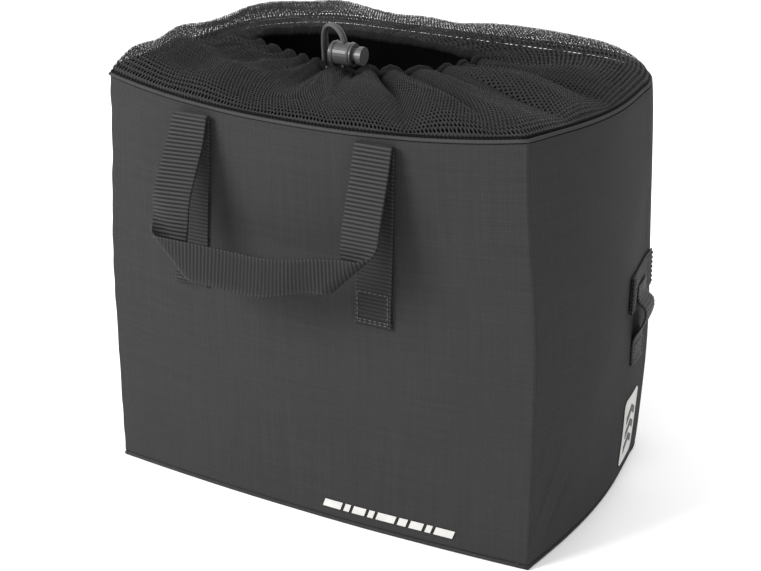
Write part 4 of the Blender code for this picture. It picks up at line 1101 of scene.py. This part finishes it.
# %% Shape of a folded strap
WEB_WIDTH, WEB_THICK = 0.025, 0.0013
TOP = 0.2625                         # height of the fold over the sewn ends
FOLD = 0.0050                        # radius of the diagonal fold
CREST = 0.0018                       # radius of the fold over the top
ACROSS = np.array([-1.0, -0.93, -0.86, -0.6, -0.3, 0.0, 0.3, 0.6, 0.86, 0.93, 1.0]) * WEB_WIDTH / 2


def strap_side(x_leg, hand, outward, panel_y, stub_low, leg_y, z_low, lean, twist, slant, grip_half, grip):
    """One half of a handle: rows of points from its sewn end to the middle of the grip."""
    rows, step = [], RIB / 4
    w = ACROSS
    lift = leg_y - outward * 2 * CREST           # where the fold starts, a little off the panel
    z = stub_low
    while z < TOP:
        near = float(ease(z, TOP - 0.035, TOP))
        y = panel_y(z) * (1 - near) + lift * near
        x_row = x_leg + slant * (z - TOP) + hand * w
        rows.append(np.stack([x_row, np.full(len(w), y), np.full(len(w), z)], -1))
        z += step
    for angle in np.linspace(0, PI, 10)[1:-1]:
        y = leg_y - outward * CREST * (1 + math.cos(angle))
        rows.append(np.stack([x_leg + hand * w, np.full(len(w), y),
                              np.full(len(w), TOP + CREST * math.sin(angle))], -1))
    y, z, gone, turned = leg_y, TOP, 0.0, []
    while z > z_low:
        angle = lean(gone)
        turned.append((y, z))
        y += outward * math.sin(angle) * step
        z -= math.cos(angle) * step
        gone += step
    s0 = gone
    reach = s0 + grip_half + PI * FOLD / math.sqrt(2)
    count = int(round(reach / step))
    root = 1 / math.sqrt(2)
    for s in np.linspace(0.0, reach, count + 1):
        f, d = ((s - s0) + w) * root, ((s - s0) - w) * root      # along and across the diagonal
        a = np.clip(d, 0.0, PI * FOLD)
        beyond = np.maximum(d - PI * FOLD, 0.0)
        slip = FOLD * np.sin(a / FOLD) - beyond
        x = f * root - np.where(d > 0, slip, d) * root
        down = -f * root - np.where(d > 0, slip, d) * root
        over = FOLD * (1 - np.cos(a / FOLD))
        on_leg, leg_z = (np.interp(min(s, s0), np.arange(len(turned)) * step, places)
                         for places in zip(*turned))
        z_row = np.where(d > 0, z_low + down, leg_z if s <= s0 else z_low - (s - s0))
        y_row = on_leg + outward * over
        swing = twist * (1.0 - float(ease(abs(s - 0.55 * s0), 0.25 * s0, 0.62 * s0)))
        y_row = y_row + outward * swing * ease(-d, 0.0, 0.012) * -w
        if grip:
            to_middle = ((reach - s0) - w) * root - PI * FOLD
            share = ease(beyond / to_middle, 0.0, 1.0)
            tip = ease(beyond / to_middle, 0.0, 0.8) * grip[2]
            middle = z_low - PI * FOLD * root
            z_row, y_row = (middle + (z_row - middle) * np.cos(tip) + share * (grip[1] - middle),
                            y_row + outward * (z_row - middle) * np.sin(tip)
                            + share * (grip[0] - turned[-1][0] - outward * 2 * FOLD))
        rows.append(np.stack([x_leg + hand * x, y_row, z_row], -1))
    return np.stack(rows)


def ribbed(rows):
    """Ribs across a strap: rows pushed along the surface's own direction."""
    along = np.gradient(rows, axis=0)
    across = np.gradient(rows, axis=1)
    normal = np.cross(along, across)
    normal /= np.linalg.norm(normal, axis=2)[..., None]
    far = lengths(rows[:, len(ACROSS) // 2])
    wave = np.sin(2 * PI * far / RIB)
    inner = (np.abs(ACROSS) < WEB_WIDTH * 0.44).astype(float)
    return rows + normal * (0.00040 * wave[:, None] * inner[None])[..., None], far


def handle(name, left, right, outward, panel_y, stub_low, leg_y, lows, leans, twists, slants, grip):
    """A whole handle as one length of webbing between its two sewn ends."""
    half = (right - left) / 2
    first, second = (strap_side(x, hand, outward, panel_y(x), stub_low, leg_y, lows[k], leans[k], twists[k],
                                slants[k], half, grip)
                     for k, (x, hand) in enumerate(((left, 1.0), (right, -1.0))))
    rows, far = ribbed(np.concatenate([first, second[-2::-1]]))
    obj = grid_mesh(name, rows, flat_of(ACROSS, far), webbing)
    thicken(obj, WEB_THICK)
    apply_modifiers(obj)
    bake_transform(obj)
    print(name, rows.shape, rows.reshape(-1, 3).min(0).round(4), rows.reshape(-1, 3).max(0).round(4))
    return obj


def front_panel_y(x):
    """The front's own surface behind a strap, half the webbing out."""
    def at(z):
        h = min(z / RIM_TOP, 0.98)
        s = sizes_at(h)
        share = (x + s["left"]) / (s["left"] + s["right"])
        return float(wall(FRONT, share, h)[1]) - WEB_THICK / 2 - 0.0007
    return at


def back_panel_y(x):
    """The flat back's surface behind a strap, half the webbing out."""
    return lambda z: BACK_Y + 0.0012


def leaning(share):
    """How far a front leg leans out, by the length of it that has gone."""
    return lambda gone: math.radians(share * (22 + 8 * float(ease(gone, 0.0, 0.022))
                                              - 24 * float(ease(gone, 0.040, 0.064))))


front_handle = handle("front_handle_webbing", -0.0755, 0.0540, -1.0, front_panel_y, 0.148, -0.1263,
                      lows=(0.1945, 0.2000), leans=(leaning(0.95), leaning(0.62)), twists=(0.16, 0.0),
                      slants=(0.075, 0.02), grip=(-0.1590, 0.1815, -0.12))
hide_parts("front_handle_strap", "front_handle_stub_left", "front_handle_stub_right")
rear_lean = lambda gone: math.radians(15 - 10 * float(ease(gone, 0.06, 0.1)))
rear_handle = handle("rear_handle_webbing", -0.067, 0.067, 1.0, back_panel_y, 0.148, 0.1168,
                     lows=(0.1676, 0.1676), leans=(rear_lean, rear_lean), twists=(0.0, 0.0),
                     slants=(0.0, 0.0), grip=(0.1490, 0.1540, 0.15))
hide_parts("rear_handle_strap", "rear_handle_stub_left", "rear_handle_stub_right")

# %% [markdown]
# ### Stitches
# A lockstitch shows as a row of short dashes sunk a little into the cloth. One
# helper lays small rounded dashes along a line, one every three millimetres.

# %% Stitch helper and the sewn ends of the handles
def stitches(name, lines, out_of, body, pitch=0.0031, long=0.0023, thick=0.00042):
    """Rows of stitches along lines of points, each raised towards out_of."""
    verts, faces = [], []
    for line in lines:
        line = np.asarray(line, float)
        far = lengths(line)
        count = max(int(far[-1] / pitch), 1)
        for number in range(count):
            middle = (number + 0.5) * far[-1] / count
            ends = [np.array([np.interp(middle + shift * long / 2, far, line[:, axis]) for axis in range(3)])
                    for shift in (-1.0, -0.55, 0.55, 1.0)]
            ahead = ends[-1] - ends[0]
            ahead /= np.linalg.norm(ahead)
            up = np.asarray(out_of(ends[1]) if callable(out_of) else out_of, float)
            side = np.cross(ahead, up)
            side /= np.linalg.norm(side)
            up = np.cross(side, ahead)
            start = len(verts)
            for place, size, rise in zip(ends, (0.35, 1.0, 1.0, 0.35), (-0.5, 0.35, 0.35, -0.5)):
                for corner in range(6):
                    turn_at = PI / 3 * corner
                    out = math.cos(turn_at) * side + math.sin(turn_at) * up
                    verts.append(place + thick * (size * out + rise * up))
            for block in range(3):
                for corner in range(6):
                    nxt = (corner + 1) % 6
                    a = start + block * 6
                    faces.append((a + corner, a + nxt, a + 6 + nxt, a + 6 + corner))
            faces.append(tuple(range(start + 5, start - 1, -1)))
            faces.append(tuple(range(start + 18, start + 24)))
    obj = link_mesh(name, verts, faces)
    obj.data.materials.append(thread)
    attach(obj, body)
    return obj


def rows_of(x, y_at, low, high, width=0.021):
    """Stitch lines that hold a strap's foot: three rows across it and one up each edge."""
    up = [[(x + side * width / 2, y_at(z), z) for z in np.linspace(low, high, 14)] for side in (-1, 1)]
    return up + [[(x + share * width / 2, y_at(z), z) for share in np.linspace(-1, 1, 8)]
                 for z in (low, low + 0.0016, high)]


def hem_fold(name, x, y_at, outward, low, high):
    """The strap's cut end turned under: a second, slightly wider layer at its foot."""
    z = np.linspace(low, high, 9)
    across = np.linspace(-1, 1, 7) * (WEB_WIDTH / 2 + 0.0003)
    points = np.array([[(x + a, y_at(level) - outward * 0.0006, level) for a in across] for level in z])
    obj = grid_mesh(name, points, flat_of(across, z), webbing)
    thicken(obj, 0.0011)
    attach(obj, "bag")


for face, feet, panel_y, outward in (("front", (-0.0830, 0.0519), front_panel_y, -1),
                                     ("rear", (-0.067, 0.067), back_panel_y, 1)):
    seams = []
    for x in feet:
        y_at = panel_y(x)
        seams += rows_of(x, lambda z: y_at(z) + outward * (WEB_THICK / 2 + 0.0001), 0.1500, 0.1700)
        hem_fold(face + "_strap_end", x, y_at, outward, 0.1475, 0.1525)
    stitches(face + "_handle_stitches", seams, (0, outward, 0), "bag")

# %% [markdown]
# ## Light loop on the side
# A flat band with a doubled, double-stitched front end is sewn to the side,
# and a narrower tongue rises out of it, stands off the bag and comes back to
# be sewn lower down. A lamp's clip pushes on to the tongue. Both follow the
# bowed side, so they are grids laid on the outline rather than flat plates.

# %% Band and tongue of the light loop
def right_wall(y, z, out=0.0):
    """A point on the right side or its rear corner, out metres off the cloth."""
    h = z / RIM_TOP
    s = sizes_at(h)
    corner_y = BACK_Y - s["radius"]
    if y <= corner_y:
        point = wall(RIGHT, (y - FRONT_Y) / (corner_y - FRONT_Y), h, out)
    else:
        point = wall(RIGHT_CORNER, math.asin(min((y - corner_y) / s["radius"], 1.0)) / (PI / 2), h, out)
    return np.array([point[0], point[1], z])


def side_webbing(name, y_range, z_range, out, columns, ribs_out):
    """A piece of webbing that follows the right side, with its ribs upright."""
    ys, zs = np.linspace(*y_range, columns), np.linspace(*z_range, 12)
    points = np.array([[right_wall(y, z, out + ribs_out * math.sin(2 * PI * y / RIB)) for y in ys]
                       for z in zs])
    obj = grid_mesh(name, points, flat_of(ys, zs), webbing)
    thicken(obj, 0.0011)
    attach(obj, "bag")
    return obj


band = side_webbing("light_loop_band_webbing", (0.0085, 0.0675), (0.1310, 0.1560), 0.0013, 160, 0.00016)
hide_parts("light_loop_band")
side_webbing("light_loop_band_end", (0.0080, 0.0165), (0.1308, 0.1562), 0.0024, 30, 0.00012)
band_lines = [[right_wall(y, z, out) for z in np.linspace(0.1320, 0.1552, 16)]
              for y, out in ((0.0108, 0.0032), (0.0140, 0.0032), (0.0655, 0.0022))]
stitches("light_loop_stitches", band_lines, (1, 0, 0), "bag", thick=0.0004)

ARCH = [(0.0014, 0.0870), (0.0014, 0.0950), (0.0016, 0.1030), (0.0030, 0.1085), (0.0054, 0.1130),
        (0.0078, 0.1180), (0.0092, 0.1235), (0.0086, 0.1285), (0.0062, 0.1310), (0.0044, 0.1330),
        (0.0030, 0.1370), (0.0030, 0.1440)]     # metres off the cloth, and height
arch_line = smooth_line([(out, 0.0, z) for out, z in ARCH], 12)
arch_line = evenly(arch_line, 150)
arch_far = lengths(arch_line)
tongue_y = np.linspace(0.0245, 0.0485, 11)
tongue_middle = float(tongue_y.mean())
tongue_points = np.array([[right_wall(y, z, out - 0.05 * abs(y - tongue_middle)) for y in tongue_y]
                          for out, _, z in arch_line])
tongue_points[..., 0] += (0.00016 * np.sin(2 * PI * arch_far / RIB))[:, None]
tongue = grid_mesh("light_loop_tongue", tongue_points, flat_of(tongue_y, arch_far), webbing)
thicken(tongue, 0.0011)
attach(tongue, "bag")
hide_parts("light_loop")
sewn_y, sewn_z = (0.0262, 0.0468), (0.0885, 0.1010)
tongue_lines = [[right_wall(y, z, 0.0024) for z in np.linspace(*sewn_z, 8)] for y in sewn_y]
tongue_lines += [[right_wall(y, z, 0.0024) for y in np.linspace(*sewn_y, 10)] for z in sewn_z]
stitches("light_tongue_stitches", tongue_lines, (1, 0, 0), "bag", thick=0.0004)

# %% [markdown]
# ## Reflective marks
# The side carries a rounded reflective patch and the front a reflective bar
# near its lower edge. Both are printed film. The patch gets three plain
# chevrons and the bar a run of slanted dashes, which mean nothing in
# particular. Each is a thin flat shape laid on the bowed panel.

# %% Printed shapes on the bag
def printed(name, outlines, place, material):
    """Flat outlines in metres, filled with a fine grid and laid on a wall."""
    bm = bmesh.new()
    for outline in outlines:
        bm.faces.new([bm.verts.new((a, b, 0.0)) for a, b in outline])
    for axis in (0, 1):
        low_edge = min(v.co[axis] for v in bm.verts)
        high_edge = max(v.co[axis] for v in bm.verts)
        for cut_at in np.arange(low_edge + 0.002, high_edge, 0.002):
            normal = (1, 0, 0) if axis == 0 else (0, 1, 0)
            bmesh.ops.bisect_plane(bm, geom=bm.verts[:] + bm.edges[:] + bm.faces[:],
                                   plane_co=tuple(cut_at * n for n in normal), plane_no=normal)
    flat = [tuple(v.co[:2]) for v in bm.verts]
    for v, (a, b) in zip(bm.verts, flat):
        v.co = Vector(place(a, b))
    bm.verts.index_update()
    mesh = bpy.data.meshes.new(name)
    bm.to_mesh(mesh)
    bm.free()
    obj = bpy.data.objects.new(name, mesh)
    bpy.context.scene.collection.objects.link(obj)
    layer = mesh.uv_layers.new(name=CLOTH_MAP)
    at_corners = np.array([flat[loop.vertex_index] for loop in mesh.loops], np.float32)
    layer.uv.foreach_set("vector", at_corners.ravel())
    mesh.materials.append(material)
    thicken(obj, 0.0003)
    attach(obj, "bag")
    return obj


def rounded_box(low, high, radius, steps=7):
    """The outline of a box with round corners."""
    (x0, y0), (x1, y1) = low, high
    centres = [(x1 - radius, y0 + radius, -PI / 2), (x1 - radius, y1 - radius, 0.0),
               (x0 + radius, y1 - radius, PI / 2), (x0 + radius, y0 + radius, PI)]
    arcs = [(cx, cy, start + PI / 2 * k / steps) for cx, cy, start in centres for k in range(steps + 1)]
    return [(cx + radius * math.cos(angle), cy + radius * math.sin(angle)) for cx, cy, angle in arcs]


patch = printed("side_reflective_patch_film", [rounded_box((0.0195, 0.0115), (0.0525, 0.0615), 0.005)],
                lambda a, b: right_wall(a, b, 0.0006), reflective)
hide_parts("side_reflective_patch")
chevrons = []
for lower in (0.0200, 0.0310, 0.0420):
    point, thick_at = (0.0360, lower + 0.0062), 0.0055
    tip = (point[0], point[1] + thick_at)
    chevrons.append([(0.0260, lower), point, tip, (0.0260, lower + thick_at)])
    chevrons.append([point, (0.0460, lower), (0.0460, lower + thick_at), tip])
printed("side_patch_chevrons", chevrons, lambda a, b: right_wall(a, b, 0.0009), dark_print)


def front_at(x, z, out):
    """A point on the front panel, out metres off the cloth."""
    s = sizes_at(z / RIM_TOP)
    share = (x + s["left"]) / (s["left"] + s["right"])
    point = wall(FRONT, share, z / RIM_TOP, out)
    return np.array([point[0], point[1], z])


dashes, x = [], 0.0125
for length in (0.0130, 0.0040, 0.0090, 0.0040, 0.0130, 0.0060, 0.0090, 0.0040, 0.0130):
    foot, head = (x, x + length), (x + length + 0.0020, x + 0.0020)
    dashes.append([(place, 0.0105) for place in foot] + [(place, 0.0160) for place in head])
    x += length + 0.0022
print("bar ends at", round(x, 4))
bar = printed("front_reflective_dashes", dashes, lambda a, b: front_at(a, b, 0.0006), reflective)
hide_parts("front_reflective_bar")

# %% [markdown]
# ## Plastic and metal parts
# The mount on the back, the lock's barrel and plunger and the screws keep
# their modelled shapes, which come from the imported part. Moulded nylon never
# has a sharp edge, so each gets a half-millimetre round and a grained finish;
# steel fasteners get a smaller one.

# %% Finishes and edge rounds of the hard parts
HARD = {
    nylon: ("handlebar_bracket", "mounting_plate", "backing_plate", "clamp_cap_left", "clamp_cap_right"),
    button_red: ("release_button",), board: ("back_board",), lock_grey: ("cord_lock_barrel",),
    plunger_grey: ("cord_lock_plunger",),
    steel: ("mount_screw_1", "mount_screw_2", "mount_screw_3", "mount_screw_4",
            "clamp_bolt_left_upper", "clamp_bolt_left_lower",
            "clamp_bolt_right_upper", "clamp_bolt_right_lower"),
}
for material, names in HARD.items():
    for name in names:
        obj = bpy.data.objects[name]
        obj.data.materials.clear()
        obj.data.materials.append(material)
        bevel = obj.modifiers.new("edge_round", "BEVEL")
        bevel.width = 0.00025 if material is steel else 0.0020 if name == "cord_lock_barrel" else 0.0005
        bevel.segments, bevel.limit_method, bevel.angle_limit = 3, "ANGLE", math.radians(40)
        bevel.harden_normals = True
print("hard parts", sum(len(names) for names in HARD.values()))


def turned_ring(name, profile, centre, material, body, sides=40):
    """A ring turned about the x axis from its profile of x and radius."""
    turn = np.linspace(0, 2 * PI, sides, endpoint=False)
    points = np.array([[centre + np.array((x, r * math.cos(a), r * math.sin(a))) for a in turn]
                       for x, r in profile + profile[:1]])
    flat = flat_of(np.linspace(0, 0.03, sides + 1), np.linspace(0, 0.01, len(points)))
    obj = grid_mesh(name, points, flat, material, round_way=True)
    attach(obj, body)
    return obj


barrel_low, barrel_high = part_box("cord_lock_barrel")
barrel_middle = (np.array(barrel_low) + np.array(barrel_high)) / 2
outer = (barrel_high.z - barrel_low.z) / 2
RING = ((-0.0010, -0.0004), (-0.0008, 0.0004), (0.0, 0.0007), (0.0008, 0.0004), (0.0010, -0.0004))
for name, ring_x in (("lock_ring_left", barrel_low.x + 0.0022), ("lock_ring_right", barrel_high.x - 0.0022)):
    offset = ring_x - barrel_middle[0]
    turned_ring(name, [(offset + along, outer + up) for along, up in RING], barrel_middle, lock_grey,
                "cord_lock")
